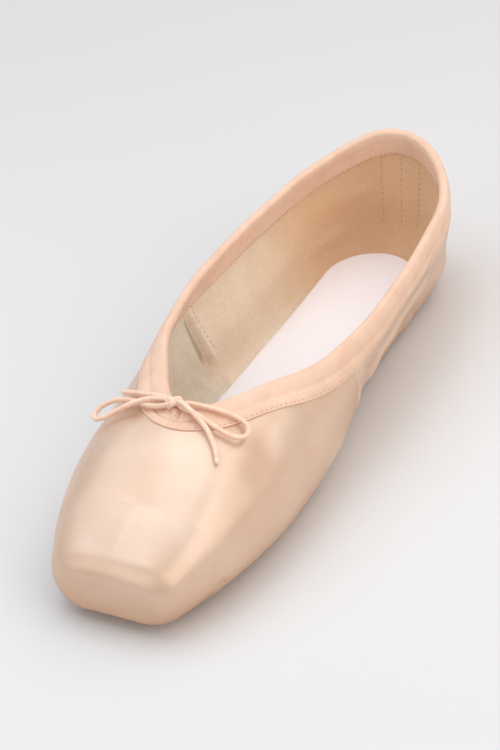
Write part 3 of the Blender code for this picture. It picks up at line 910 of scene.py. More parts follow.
@dataclass
class Gathers:
    """The satin's small gathers where it is lasted round the outsole.

    Attributes:
        amounts: their height, by distance along the shoe.
        pitch: distance between gathers.
        reach: how far up the satin they die away.
        puff: how far the satin bellies past the outsole's edge.
    """

    amounts: dict[str, tuple[float, float]] = field(default_factory=lambda: {
        "tip": (0.0, 0.55), "box": (22.0, 0.30), "ball": (60.0, 0.10), "seam": (118.0, 0.25),
        "waist": (145.0, 0.55), "quarter": (185.0, 0.45), "heel": (236.0, 0.5)})
    pitch: float = 6.2
    reach: float = 14.0
    puff: float = 0.8

    def heights(self, points: Array, last: Last) -> Array:
        """Work out the gathers.

        Args:
            points: the upper's outer surface.
            last: the last that it is on.

        Returns:
            How far each point is lifted.
        """
        edge = OUTSOLE.edge(last, last.sole_top)
        ring = np.vstack([edge, edge[::-1] * MIRROR])
        gaps, place = nearest_gaps(points, ring)
        run = run_lengths(ring)[place]
        side = np.where(place < len(edge), 0.0, 1.7)
        runs, heights = np.array(list(self.amounts.values())).T
        amount = np.interp(points[:, 1], runs, heights)
        turn = 2 * math.pi * run / self.pitch
        wave = np.sin(turn + 2.2 * np.sin(turn / 5.3 + side)) + 0.6 * np.sin(turn / 1.62 + 2.1 * side)
        groups = np.sin(turn / 3.7 + 1.3 + side) + 0.6 * np.sin(turn / 8.9 + side)
        wave *= 0.25 + 0.75 * ease(-0.4, 0.9, groups)
        lateral = np.abs(points[:, 0]) - np.interp(points[:, 1], edge[:, 1], edge[:, 0])
        beyond = (points[:, 1] < edge[0, 1]) | (points[:, 1] > edge[-1, 1]) | (lateral > 0)
        low = points[:, 2] < 20
        grown = ease(0.4, 3.0, gaps) * (1 - ease(0.4 * self.reach, self.reach, gaps))
        belly = self.puff * np.exp(-((gaps - 3.4) / 2.6)**2) * ease(0, 1.2, gaps)
        return np.where(beyond & low, amount * wave * grown + belly, 0.0)


# --- finishes ----------------------------------------------------------------------

def rgba(colour: Colour) -> tuple[float, float, float, float]:
    """Return a colour with full cover."""
    return (*colour, 1.0)


def shade(colour: Colour, factor: float) -> Colour:
    """Return a colour made darker or lighter, each part at most 1."""
    return tuple(min(1.0, factor * part) for part in colour)


@dataclass
class Graph:
    """Adds nodes to one tree and joins them.

    Attributes:
        tree: the tree.
    """

    tree: NodeTree

    def add(self, kind: str, inputs: dict[str | int, object] | None = None, **settings: object) -> Node:
        """Add a node.

        Args:
            kind: its type's name.
            inputs: sockets or plain values for its inputs.
            settings: its other properties.

        Returns:
            The node.
        """
        node = self.tree.nodes.new(kind)
        for name, value in settings.items():
            setattr(node, name, value)
        for key, value in (inputs or {}).items():
            if isinstance(value, Socket):
                self.tree.links.new(value, node.inputs[key])
            else:
                node.inputs[key].default_value = value
        return node

    def math(self, operation: str, a: object, b: object = 0.0) -> Socket:
        """Return the result of a simple operation on two values."""
        return self.add("ShaderNodeMath", {0: a, 1: b}, operation=operation).outputs[0]

    def plus(self, a: object, b: object) -> Socket:
        """Return the sum of two values."""
        return self.math("ADD", a, b)

    def minus(self, a: object, b: object) -> Socket:
        """Return a value less another."""
        return self.math("SUBTRACT", a, b)

    def times(self, a: object, b: object) -> Socket:
        """Return the product of two values."""
        return self.math("MULTIPLY", a, b)

    def span(self, value: Socket, low: float, high: float, to_low: float = 0.0,
             to_high: float = 1.0) -> Socket:
        """Return a value's place between two limits, on another range and held in it."""
        inputs = {"Value": value, "From Min": low, "From Max": high, "To Min": to_low, "To Max": to_high}
        return self.add("ShaderNodeMapRange", inputs, interpolation_type="SMOOTHSTEP").outputs[0]

    def mix(self, share: object, a: Socket | Colour, b: Socket | Colour) -> Socket:
        """Return a mix of two colours."""
        ends = [part if isinstance(part, Socket) else rgba(part) for part in (a, b)]
        return self.add("ShaderNodeMix", {0: share, 6: ends[0], 7: ends[1]}, data_type="RGBA").outputs[2]

    def noise(self, place: Socket, size: float, detail: float = 3.0, roughness: float = 0.55) -> Socket:
        """Return soft noise, with its features' size in millimetres."""
        inputs = {"Vector": place, "Scale": 1 / (size * MM), "Detail": detail, "Roughness": roughness}
        return self.add("ShaderNodeTexNoise", inputs).outputs[0]

    def stretched(self, place: Socket, scale: Place) -> Socket:
        """Return a place with its axes scaled."""
        return self.add("ShaderNodeMapping", {"Vector": place, "Scale": scale}).outputs[0]

    def mark(self, name: str) -> Socket:
        """Return one of the marks that the piece's surface carries."""
        return self.add("ShaderNodeAttribute", attribute_name=name).outputs["Fac"]

    def group(self, tree: NodeTree, inputs: dict[str, object]) -> Node:
        """Place a shader group with its own values."""
        return self.add("ShaderNodeGroup", inputs, node_tree=tree)

    def join(self, value: Socket, node: Node, key: str) -> None:
        """Join a value to a node's input."""
        self.tree.links.new(value, node.inputs[key])


def new_group(name: str, inputs: tuple[str, ...], outputs: tuple[str, ...]) \
        -> tuple[Graph, list[Socket], Node]:
    """Make an empty shader group.

    Args:
        name: the group's name.
        inputs: the names of its inputs besides the place, all of them single values.
        outputs: the names of its outputs, all of them single values.

    Returns:
        The group's graph, its inputs with the place first, and its output node.
    """
    tree = bpy.data.node_groups.new(name, "ShaderNodeTree")
    tree.interface.new_socket("Place", in_out="INPUT", socket_type="NodeSocketVector")
    for keys, way in ((inputs, "INPUT"), (outputs, "OUTPUT")):
        for key in keys:
            tree.interface.new_socket(key, in_out=way, socket_type="NodeSocketFloat")
    graph = Graph(tree)
    sink = graph.add("NodeGroupOutput")
    return graph, list(graph.add("NodeGroupInput").outputs)[:len(inputs) + 1], sink


class Effects:
    """The shader groups that several finishes share, each built once."""

    def __init__(self) -> None:
        """Build the groups."""
        self.weave = self.build_weave()
        self.mottle = self.build_mottle()
        self.scuff = self.build_scuff()

    def build_weave(self) -> NodeTree:
        """Build a plain weave.

        Returns:
            The group: the height of its threads, and a tint that changes by thread.
        """
        graph, (place, along, across, slub), sink = new_group(
            "Plain weave", ("Along", "Across", "Slub"), ("Height", "Thread"))
        wander = graph.add("ShaderNodeVectorMath", {0: graph.noise(place, 5.0, 2.0), "Scale": 0.0004},
                           operation="SCALE").outputs[0]
        bent = graph.add("ShaderNodeVectorMath", {0: place, 1: wander}).outputs[0]
        parts = graph.add("ShaderNodeSeparateXYZ", {0: bent})
        counts = [graph.times(parts.outputs[k], number) for k, number in enumerate((along, across))]
        waves = [graph.math("ABSOLUTE", graph.math("SINE", graph.times(count, math.pi))) for count in counts]
        cells = [graph.math("FLOOR", count) for count in counts]
        parity = graph.math("PINGPONG", graph.plus(cells[0], cells[1]), 1.0)
        over = graph.times(waves[0], parity)
        under = graph.times(waves[1], graph.minus(1.0, parity))
        thick = graph.noise(graph.stretched(place, (0.25, 1.0, 1.0)), 1.2, 2.0)
        lift = graph.times(graph.minus(thick, 0.5), slub)
        graph.join(graph.plus(graph.plus(over, under), lift), sink, "Height")
        cell = graph.add("ShaderNodeCombineXYZ", {0: cells[0], 1: cells[1], 2: parity}).outputs[0]
        tint = graph.add("ShaderNodeTexWhiteNoise", {"Vector": cell}, noise_dimensions="3D").outputs[0]
        graph.join(tint, sink, "Thread")
        return graph.tree

    def build_mottle(self) -> NodeTree:
        """Build an uneven tint.

        Returns:
            The group: cloudy noise held between two limits.
        """
        graph, (place, scale, low, high), sink = new_group("Mottle", ("Scale", "Low", "High"), ("Value",))
        inputs = {"Vector": place, "Scale": scale, "Detail": 4.0, "Roughness": 0.6}
        cloud = graph.add("ShaderNodeTexNoise", inputs).outputs[0]
        graph.join(graph.span(cloud, low, high), sink, "Value")
        return graph.tree

    def build_scuff(self) -> NodeTree:
        """Build handling marks.

        Returns:
            The group: sparse rubbed patches broken by fine streaks.
        """
        graph, (place, amount), sink = new_group("Handling marks", ("Amount",), ("Mask",))
        patches = graph.span(graph.noise(place, 18.0, 3.0), 0.55, 0.72)
        fine = graph.noise(graph.stretched(place, (1.0, 0.15, 1.0)), 0.9, 4.0, 0.7)
        streaks = graph.span(fine, 0.45, 0.75)
        graph.join(graph.times(graph.times(patches, streaks), amount), sink, "Mask")
        return graph.tree


@dataclass
class Coat(Graph):
    """A material's graph, with the shared groups at hand.

    Attributes:
        effects: the shared groups.
    """

    effects: Effects

    def __post_init__(self) -> None:
        """Add the place in the frame."""
        self.place = self.add("ShaderNodeTexCoord").outputs["Object"]

    @cached_property
    def grain(self) -> Socket:
        """Add the place along and round the piece, where a finish first needs it."""
        return self.add("ShaderNodeUVMap", uv_map=UV_MAP).outputs[0]

    def threads(self, along: float, across: float, slub: float) -> list[Socket]:
        """Return the weave's height and tint, with its threads' numbers per metre."""
        inputs = {"Place": self.grain, "Along": along, "Across": across, "Slub": slub}
        return list(self.group(self.effects.weave, inputs).outputs)

    def clouds(self, scale: float, low: float = 0.3, high: float = 0.7) -> Socket:
        """Return the uneven tint."""
        inputs = {"Place": self.place, "Scale": scale, "Low": low, "High": high}
        return self.group(self.effects.mottle, inputs).outputs[0]

    def rubs(self, amount: float) -> Socket:
        """Return the handling marks."""
        return self.group(self.effects.scuff, {"Place": self.place, "Amount": amount}).outputs[0]


@dataclass(frozen=True)
class Finish:
    """What every finish has.

    Attributes:
        name: the material's name.
        face: its main colour.
        deep: its darker colour, for its own uneven tone and for painted shade in hollows and thin places.
        roughness: its mean roughness.
        sheen: weight of its fibres' soft rim of light.
        depth: height of its grain, in millimetres.
    """

    name: str
    face: Colour
    deep: Colour
    roughness: float
    sheen: float = 0.0
    depth: ClassVar[float] = 0.1

    def prepare(self, coat: Coat, shader: Node) -> None:
        """Set what is the same all over the surface, besides the sheen: nothing for most finishes."""

    def look(self, coat: Coat) -> Look:
        """Return the colour, the roughness and the grain's height."""
        raise NotImplementedError

    def rough(self, coat: Coat, value: Socket, less: float, more: float, low: float = 0.0,
              high: float = 1.0) -> Socket:
        """Return a roughness that follows a value, from less under its mean to more over it."""
        return coat.span(value, low, high, self.roughness - less, self.roughness + more)

    def build(self, effects: Effects) -> Material:
        """Make the material.

        Args:
            effects: the shared shader groups.

        Returns:
            The material.
        """
        material = bpy.data.materials.new(self.name)
        material.use_nodes = True
        material.diffuse_color = rgba(self.face)
        coat, shader = Coat(material.node_tree, effects), material.node_tree.nodes["Principled BSDF"]
        shader.inputs["Sheen Weight"].default_value = self.sheen
        shader.inputs["Sheen Roughness"].default_value = 0.4
        shader.inputs["Sheen Tint"].default_value = rgba((1.0, 0.86, 0.76))
        self.prepare(coat, shader)
        colour, roughness, height = self.look(coat)
        bump = coat.add("ShaderNodeBump", {"Height": height, "Distance": self.depth * MM, "Strength": 1.0})
        coat.join(colour, shader, "Base Color")
        coat.join(roughness, shader, "Roughness")
        coat.join(bump.outputs[0], shader, "Normal")
        return material


@dataclass(frozen=True)
class Satin(Finish):
    """Warp-faced satin: fine floats along the cloth, a long soft gloss, painted shade in the hollows and
    near the floor, painted highlight on the ridges.

    Attributes:
        gloss: strength of the white highlight.
        stretch: how far the highlight is drawn out across the floats.
        lustre: share of the light that takes the cloth's own colour.
    """

    gloss: float = 1.0
    stretch: float = 0.5
    lustre: float = 0.3
    depth: ClassVar[float] = 0.10

    def prepare(self, coat: Coat, shader: Node) -> None:
        """Set the gloss, which is drawn out across the floats.

        Args:
            coat: the material's coat.
            shader: its shader.
        """
        for key, value in (("Anisotropic", self.stretch), ("Specular IOR Level", self.gloss),
                           ("Metallic", self.lustre)):
            shader.inputs[key].default_value = value
        tangent = coat.add("ShaderNodeTangent", direction_type="UV_MAP", uv_map=UV_MAP).outputs[0]
        coat.join(tangent, shader, "Tangent")

    def look(self, coat: Coat) -> Look:
        """Lay fine floats along the cloth, with painted shade in the hollows and near the floor and painted
        highlight on the ridges.

        Args:
            coat: the material's coat.

        Returns:
            The colour, the roughness and the grain's height.
        """
        floats = coat.noise(coat.stretched(coat.grain, (0.07, 1.0, 1.0)), 0.3, 2.0, 0.5)
        # Painted shade and highlight: the relief mark darkens the hollows and lightens the ridges.
        tone = coat.plus(coat.span(coat.mark("relief"), -0.7, 0.7, 0.1, 0.7),
                         coat.times(coat.clouds(38.0), 0.3))
        tone = coat.plus(tone, coat.times(coat.minus(floats, 0.5), 0.08))
        # Painted shade: the satin darkens towards the floor.
        up = coat.add("ShaderNodeSeparateXYZ", {0: coat.place}).outputs[2]
        tone = coat.minus(tone, coat.span(up, 0.018, 0.003, 0.0, 0.6))
        rough = coat.plus(self.rough(coat, floats, 0.02, 0.03, 0.3, 0.7),
                          coat.times(coat.rubs(0.35), 0.12))
        grain = coat.plus(coat.times(floats, 0.05), coat.times(coat.noise(coat.place, 9.0, 2.0), 0.5))
        return coat.mix(tone, self.deep, self.face), rough, grain


@dataclass(frozen=True)
class Canvas(Finish):
    """Unbleached cotton lining: a coarse plain weave, paste-stained grey towards the vamp, with painted
    shade towards the heel and in the hollows and painted highlight on the highest folds.

    Attributes:
        front: its colour towards the vamp.
        heel: its painted shade colour towards the heel.
        crest_highlight: its painted highlight colour on the highest folds.
    """

    front: Colour = (0.98, 0.84, 0.66)
    heel: Colour = (0.86, 0.52, 0.27)
    crest_highlight: Colour = (0.95, 0.82, 0.66)
    depth: ClassVar[float] = 0.13

    def look(self, coat: Coat) -> Look:
        """Weave coarse threads, tint the front grey, and paint shade towards the heel and in the hollows and
        highlight on the highest folds.

        Args:
            coat: the material's coat.

        Returns:
            The colour, the roughness and the grain's height.
        """
        vamp, relief = coat.mark("vamp"), coat.mark("relief")
        height, thread = coat.threads(1900.0, 1900.0, 0.7)
        fine = coat.clouds(900.0, 0.25, 0.75)
        tone = coat.plus(coat.times(coat.clouds(70.0, 0.3, 0.72), 0.55),
                         coat.times(fine, 0.45))
        tan = coat.mix(tone, self.deep, self.face)
        grey = coat.mix(tone, shade(self.front, 0.8), self.front)
        # Painted shade: the lining darkens towards the heel, where the vamp mark falls below 0.
        tan = coat.mix(coat.span(vamp, 0.0, -1.0, 0.0, 0.75), tan, self.heel)
        colour = coat.mix(coat.span(vamp, 0.0, 1.0), tan, grey)
        # Painted shade in the hollows, then painted highlight on the highest folds.
        colour = coat.mix(coat.span(relief, -0.05, -0.5, 0.0, 0.75), colour, shade(self.deep, 0.55))
        colour = coat.mix(coat.span(relief, 0.6, 1.8, 0.0, 0.35), colour, self.crest_highlight)
        colour = coat.mix(coat.times(thread, 0.16), colour, shade(self.deep, 0.55))
        return colour, self.rough(coat, fine, 0.06, 0.04), height


@dataclass(frozen=True)
class Tape(Finish):
    """Cotton tape: a fine close weave with a faint rib along its length."""

    depth: ClassVar[float] = 0.09

    def look(self, coat: Coat) -> Look:
        """Weave close threads, with painted shade in the gathers.

        Args:
            coat: the material's coat.

        Returns:
            The colour, the roughness and the grain's height.
        """
        height, thread = coat.threads(2300.0, 1900.0, 0.5)
        cloudy = coat.clouds(110.0)
        tone = coat.plus(coat.times(thread, 0.35), coat.times(cloudy, 0.65))
        # Painted shade: the hollows of the gathers are darkened.
        hollow = coat.span(coat.mark("relief"), 0.1, -0.75, 0.0, 0.6)
        colour = coat.mix(hollow, coat.mix(tone, self.deep, self.face), shade(self.deep, 0.62))
        return colour, self.rough(coat, cloudy, 0.05, 0.05), height


@dataclass(frozen=True)
class Cotton(Finish):
    """Spun cotton, for the drawstring and the sewing thread.

    Attributes:
        frayed: its colour at a cut end.
    """

    frayed: Colour = (0.95, 0.82, 0.70)
    depth: ClassVar[float] = 0.12

    def look(self, coat: Coat) -> Look:
        """Lay a fuzz over the thread, paler at a cut end.

        Args:
            coat: the material's coat.

        Returns:
            The colour, the roughness and the grain's height.
        """
        fuzz = coat.noise(coat.place, 0.35, 4.0, 0.7)
        colour = coat.mix(coat.clouds(260.0), self.deep, self.face)
        colour = coat.mix(coat.times(coat.mark("tip"), 0.5), colour, self.frayed)
        return colour, self.rough(coat, fuzz, 0.05, 0.05, 0.3, 0.7), fuzz


@dataclass(frozen=True)
class Cover(Finish):
    """Smooth insole cover: almost white, with a fine grain, faint rubbed marks and painted shade at its
    edge.
    """

    depth: ClassVar[float] = 0.05

    def look(self, coat: Coat) -> Look:
        """Lay a fine grain and faint marks, with painted shade darkening the edge.

        Args:
            coat: the material's coat.

        Returns:
            The colour, the roughness and the grain's height.
        """
        cloudy = coat.clouds(45.0)
        tone = coat.plus(coat.times(cloudy, 0.25), coat.rubs(0.5))
        # Painted shade: the cover darkens at its edge.
        tone = coat.plus(tone, coat.times(coat.mark("edge"), 0.5))
        rough = self.rough(coat, cloudy, 0.05, 0.06)
        return coat.mix(tone, self.face, self.deep), rough, coat.noise(coat.place, 0.5, 4.0, 0.6)


@dataclass(frozen=True)
class Leather(Finish):
    """Tan sole leather: fine pores, cloudy dye, a darker burnished edge and light rubs."""

    depth: ClassVar[float] = 0.07

    def look(self, coat: Coat) -> Look:
        """Lay pores and cloudy dye, light rubs and a darker edge.

        Args:
            coat: the material's coat.

        Returns:
            The colour, the roughness and the grain's height.
        """
        cells = coat.add("ShaderNodeTexVoronoi", {"Vector": coat.place, "Scale": 1300.0}).outputs["Distance"]
        pores = coat.plus(coat.times(cells, 0.6), coat.noise(coat.place, 0.8, 4.0, 0.6))
        cloudy = coat.clouds(42.0, 0.28, 0.72)
        tone = coat.plus(coat.times(cloudy, 0.7), coat.times(coat.span(pores, 0.4, 1.0), 0.3))
        colour = coat.mix(tone, self.deep, self.face)
        rubbed = coat.times(coat.rubs(0.6), 0.5)
        colour = coat.mix(rubbed, colour, shade(self.face, 1.5))
        colour = coat.mix(coat.times(coat.mark("edge"), 0.55), colour, shade(self.deep, 0.45))
        return colour, self.rough(coat, cloudy, 0.08, 0.06), pores


FINISHES: dict[str, Finish] = {
    # The satin's deep colour also serves as its painted shade in the hollows and near the floor.
    "satin": Satin("satin", (0.76, 0.56, 0.42), (0.64, 0.39, 0.245), 0.36),
    "ribbon": Satin("satin ribbon", (0.86, 0.63, 0.48), (0.74, 0.49, 0.34), 0.40, sheen=0.1, stretch=0.3),
    "canvas": Canvas("canvas lining", (0.99, 0.82, 0.64), (0.90, 0.68, 0.49), 0.92, sheen=0.1),
    "tape": Tape("collar tape", (0.965, 0.665, 0.49), (0.875, 0.55, 0.385), 0.8, sheen=0.25),
    "cord": Cotton("drawstring cotton", (0.95, 0.68, 0.52), (0.86, 0.56, 0.41), 0.82, sheen=0.3),
    "thread": Cotton("sewing thread", (0.96, 0.78, 0.64), (0.86, 0.64, 0.50), 0.6, sheen=0.2),
    # The hem thread is real, but its dark colour paints the shade of its stitch holes.
    "hem thread": Cotton("hem thread", (0.62, 0.40, 0.29), (0.50, 0.31, 0.22), 0.7),
    "lining thread": Cotton("lining thread", (0.56, 0.44, 0.33), (0.44, 0.34, 0.25), 0.7),
    "cover": Cover("insole cover", (0.865, 0.805, 0.79), (0.80, 0.71, 0.67), 0.5),
    "leather": Leather("sole leather", (0.42, 0.245, 0.15), (0.33, 0.18, 0.105), 0.6),
}


# --- stitches ----------------------------------------------------------------------

@dataclass(frozen=True)
class Stitch:
    """A kind of stitch, with its sizes in millimetres.

    Attributes:
        pitch: distance from one stitch to the next.
        length: of a stitch.
        thread: its thickness.
        finish: the name of its finish.
    """

    pitch: float
    length: float
    thread: float
    finish: str


STITCHES: dict[str, Stitch] = {
    "binding_stitches": Stitch(2.0, 1.2, 0.3, "hem thread"),
    "side_seam_stitches": Stitch(1.6, 1.2, 0.42, "thread"),
    "ribbon_stitches": Stitch(1.25, 1.2, 0.62, "cord"),
    "lining_stitches": Stitch(2.1, 1.3, 0.3, "lining thread"),
}


class Stitcher:
    """Lays stitches along lines with one geometry nodes tree, whose sizes are inputs."""

    def __init__(self) -> None:
        """Build the tree."""
        self.tree = self.build()

    def build(self) -> NodeTree:
        """Build the tree.

        Returns:
            The tree: points along each line, a stitch on each, joined as one mesh.
        """
        tree = bpy.data.node_groups.new("Stitches along a line", "GeometryNodeTree")
        tree.interface.new_socket("Geometry", in_out="INPUT", socket_type="NodeSocketGeometry")
        for key in ("Pitch", "Length", "Thread"):
            tree.interface.new_socket(key, in_out="INPUT", socket_type="NodeSocketFloat")
        tree.interface.new_socket("Finish", in_out="INPUT", socket_type="NodeSocketMaterial")
        tree.interface.new_socket("Geometry", in_out="OUTPUT", socket_type="NodeSocketGeometry")
        graph = Graph(tree)
        source, sink = graph.add("NodeGroupInput").outputs, graph.add("NodeGroupOutput")
        curve = graph.add("GeometryNodeMeshToCurve", {0: source["Geometry"]}).outputs[0]
        points = graph.add("GeometryNodeCurveToPoints", {"Curve": curve, "Length": source["Pitch"]},
                           mode="LENGTH").outputs
        ball = graph.add("GeometryNodeMeshUVSphere", {"Segments": 6, "Rings": 5, "Radius": 0.5}).outputs[0]
        sizes = {0: source["Length"], 1: source["Thread"], 2: source["Thread"]}
        size = graph.add("ShaderNodeCombineXYZ", sizes).outputs[0]
        stitch = graph.add("GeometryNodeTransform", {"Geometry": ball, "Scale": size}).outputs[0]
        turn = graph.add("FunctionNodeAlignRotationToVector", {"Vector": points["Tangent"]},
                         axis="X").outputs[0]
        row = {"Points": points["Points"], "Instance": stitch, "Rotation": turn}
        placed = graph.add("GeometryNodeInstanceOnPoints", row).outputs[0]
        real = graph.add("GeometryNodeRealizeInstances", {0: placed}).outputs[0]
        soft = graph.add("GeometryNodeSetShadeSmooth", {0: real}).outputs[0]
        done = graph.add("GeometryNodeSetMaterial", {0: soft, "Material": source["Finish"]}).outputs[0]
        graph.join(done, sink, "Geometry")
        return tree

    def sew(self, name: str, lines: list[Array], material: Material) -> Piece:
        """Lay stitches along some lines.

        Args:
            name: the piece's name, and its kind of stitch.
            lines: the lines' points, in millimetres.
            material: the thread's finish.

        Returns:
            The stitches as one plain mesh.
        """
        places, edges = [], []
        for line in lines:
            start = len(places)
            places += to_frame(line).tolist()
            edges += [(start + i, start + i + 1) for i in range(len(line) - 1)]
        mesh = bpy.data.meshes.new(name)
        mesh.from_pydata(places, edges, [])
        piece = added(name, mesh)
        modifier = piece.modifiers.new("stitches", "NODES")
        modifier.node_group = self.tree
        stitch = STITCHES[name]
        values = {"Pitch": stitch.pitch * MM, "Length": stitch.length * MM,
                  "Thread": stitch.thread * MM, "Finish": material}
        for item in self.tree.interface.items_tree:
            if item.in_out == "INPUT" and item.name in values:
                modifier[item.identifier] = values[item.name]
        bpy.context.view_layer.update()
        shown = piece.evaluated_get(bpy.context.evaluated_depsgraph_get())
        sewn = bpy.data.meshes.new_from_object(shown)
        piece.modifiers.clear()
        piece.data = sewn
        sewn.name = name
        bpy.data.meshes.remove(mesh)
        return piece


# --- the shoe's pieces -------------------------------------------------------------

class Workshop:
    """What every sub-assembly needs: the last, the finishes and the stitcher."""

    def __init__(self) -> None:
        """Make the finishes, and set out the last and the stitcher."""
        effects = Effects()
        self.last = Last()
        self.materials = {name: finish.build(effects) for name, finish in FINISHES.items()}
        self.stitcher = Stitcher()

    def deliver(self, piece: Piece, slot: str, *nodes: str) -> Piece:
        """Let a finished piece ride on the shoe and stand for CAD nodes.

        Args:
            piece: the piece.
            slot: not used.
            nodes: the CAD nodes that it replaces.

        Returns:
            The same piece.
        """
        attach(piece, BODY)
        if nodes:
            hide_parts(*nodes)
        LOG.info("%s: %d vertices", piece.name, len(piece.data.vertices))
        return piece

    def make(self, name: str, surface: Surface, finish: str, slot: str, *nodes: str) -> Piece:
        """Make a surface a piece of the shoe.

        Args:
            name: the piece's name.
            surface: its surface.
            finish: the name of its finish.
            slot: the record's material slot.
            nodes: the CAD nodes that it replaces.

        Returns:
            The piece.
        """
        return self.deliver(surface.piece(name, self.materials[finish]), slot, *nodes)

    def sew(self, name: str, lines: list[Array], slot: str) -> None:
        """Sew one kind of stitch along some lines."""
        self.deliver(self.stitcher.sew(name, lines, self.materials[STITCHES[name].finish]), slot)


@dataclass
class Upper:
    """The satin upper and its canvas lining.

    Attributes:
        shop: the workshop.
        satin_share: the satin's share of the wall's thickness.
        lining_share: where in the wall the lining starts.
        calm: distance from the collar within which nothing is folded.
        patch_end: where the lining's grey front ends.
        heel_shade_start, heel_shade_full: where the lining's painted shade towards the heel starts, and
            where it is full.
        ring_step: distance between the points of the collar's ring.
    """

    shop: Workshop
    satin_share: float = 0.5
    lining_share: float = 0.6
    calm: float = 8.0
    patch_end: float = 126.5
    heel_shade_start: float = 150.0
    heel_shade_full: float = 225.0
    ring_step: float = 0.55

    def __post_init__(self) -> None:
        """Shape both skins."""
        self.base = self.shop.last.surface()
        points, normals, walls = self.base.points, self.base.normals(), self.base.marks["wall"][:, None]
        self.depths = normals * walls
        tree = self.base.tree()
        lifts = {layer: np.zeros(len(points)) for layer in Layer}
        for fold in FOLDS.values():
            lifts[fold.layer] += fold.heights(points, tree)
        collar_gap, _ = nearest_gaps(points, self.shop.last.collar())
        quiet = ease(1.0, self.calm, collar_gap)
        gathered = Gathers().heights(points, self.shop.last)
        under = ease(2.0, 9.0, points[:, 2])
        whole = (lifts[Layer.WALL] * quiet * under)[:, None]
        cloth = (lifts[Layer.CLOTH] * quiet * np.maximum(under, 0.25) + gathered)[:, None]
        lined = (lifts[Layer.LINING] * ease(0.0, 3.0, collar_gap))[:, None]
        along = points[:, 1]
        # Below 0, the vamp mark paints shade onto the lining towards the heel.
        vamp = 1 - ease(-2.5, 2.5, along - self.patch_end) - ease(self.heel_shade_start, self.heel_shade_full, along)

        def skin(lift: Array, **marks: Array) -> Surface:
            """Return the last's surface lifted along its normals, with marks of its own."""
            return Surface(points + normals * lift, self.base.faces, self.base.uvs, marks)

        # The relief marks also paint shade into the hollows and highlight onto the ridges of the satin and
        # the lining.
        outside = skin(whole + cloth, relief=(whole + cloth)[:, 0])
        inside = skin(whole + lined - walls)
        middle = skin(whole - self.lining_share * walls, vamp=vamp, relief=-lined[:, 0])
        self.satin = outside.shell(skin(whole - self.satin_share * walls).points)
        self.lining = middle.shell(inside.points)
        self.trees = {Skin.SATIN: outside.tree(), Skin.LINING: inside.tree()}

    def ring(self) -> tuple[Array, Array]:
        """Trace the collar's outer and inner edges.

        Returns:
            Both as evenly spaced rings, with the first point repeated.
        """
        edge = self.shop.last.collar()
        run = run_lengths(edge)
        _, place = nearest_gaps(edge, self.base.points)
        count = round(run[-1] / self.ring_step) + 1
        return resampled(edge, count), resampled(edge - self.depths[place], count, run)

    def laid(self, line: Array, height: float, skin: Skin = Skin.SATIN) -> Array:
        """Lay a line on a skin.

        Args:
            line: points near it.
            height: how far outside the skin the line runs.
            skin: the skin.

        Returns:
            The laid points.
        """
        points = []
        for place in line:
            spot, normal, _, _ = self.trees[skin].find_nearest(Vector(place))
            points.append(spot + normal * height)
        return np.array(points)

    def build(self) -> None:
        """Make the two pieces."""
        self.shop.make("satin_upper", self.satin, "satin", "satin", "upper")
        self.shop.make("canvas_lining", self.lining, "canvas", "satin")


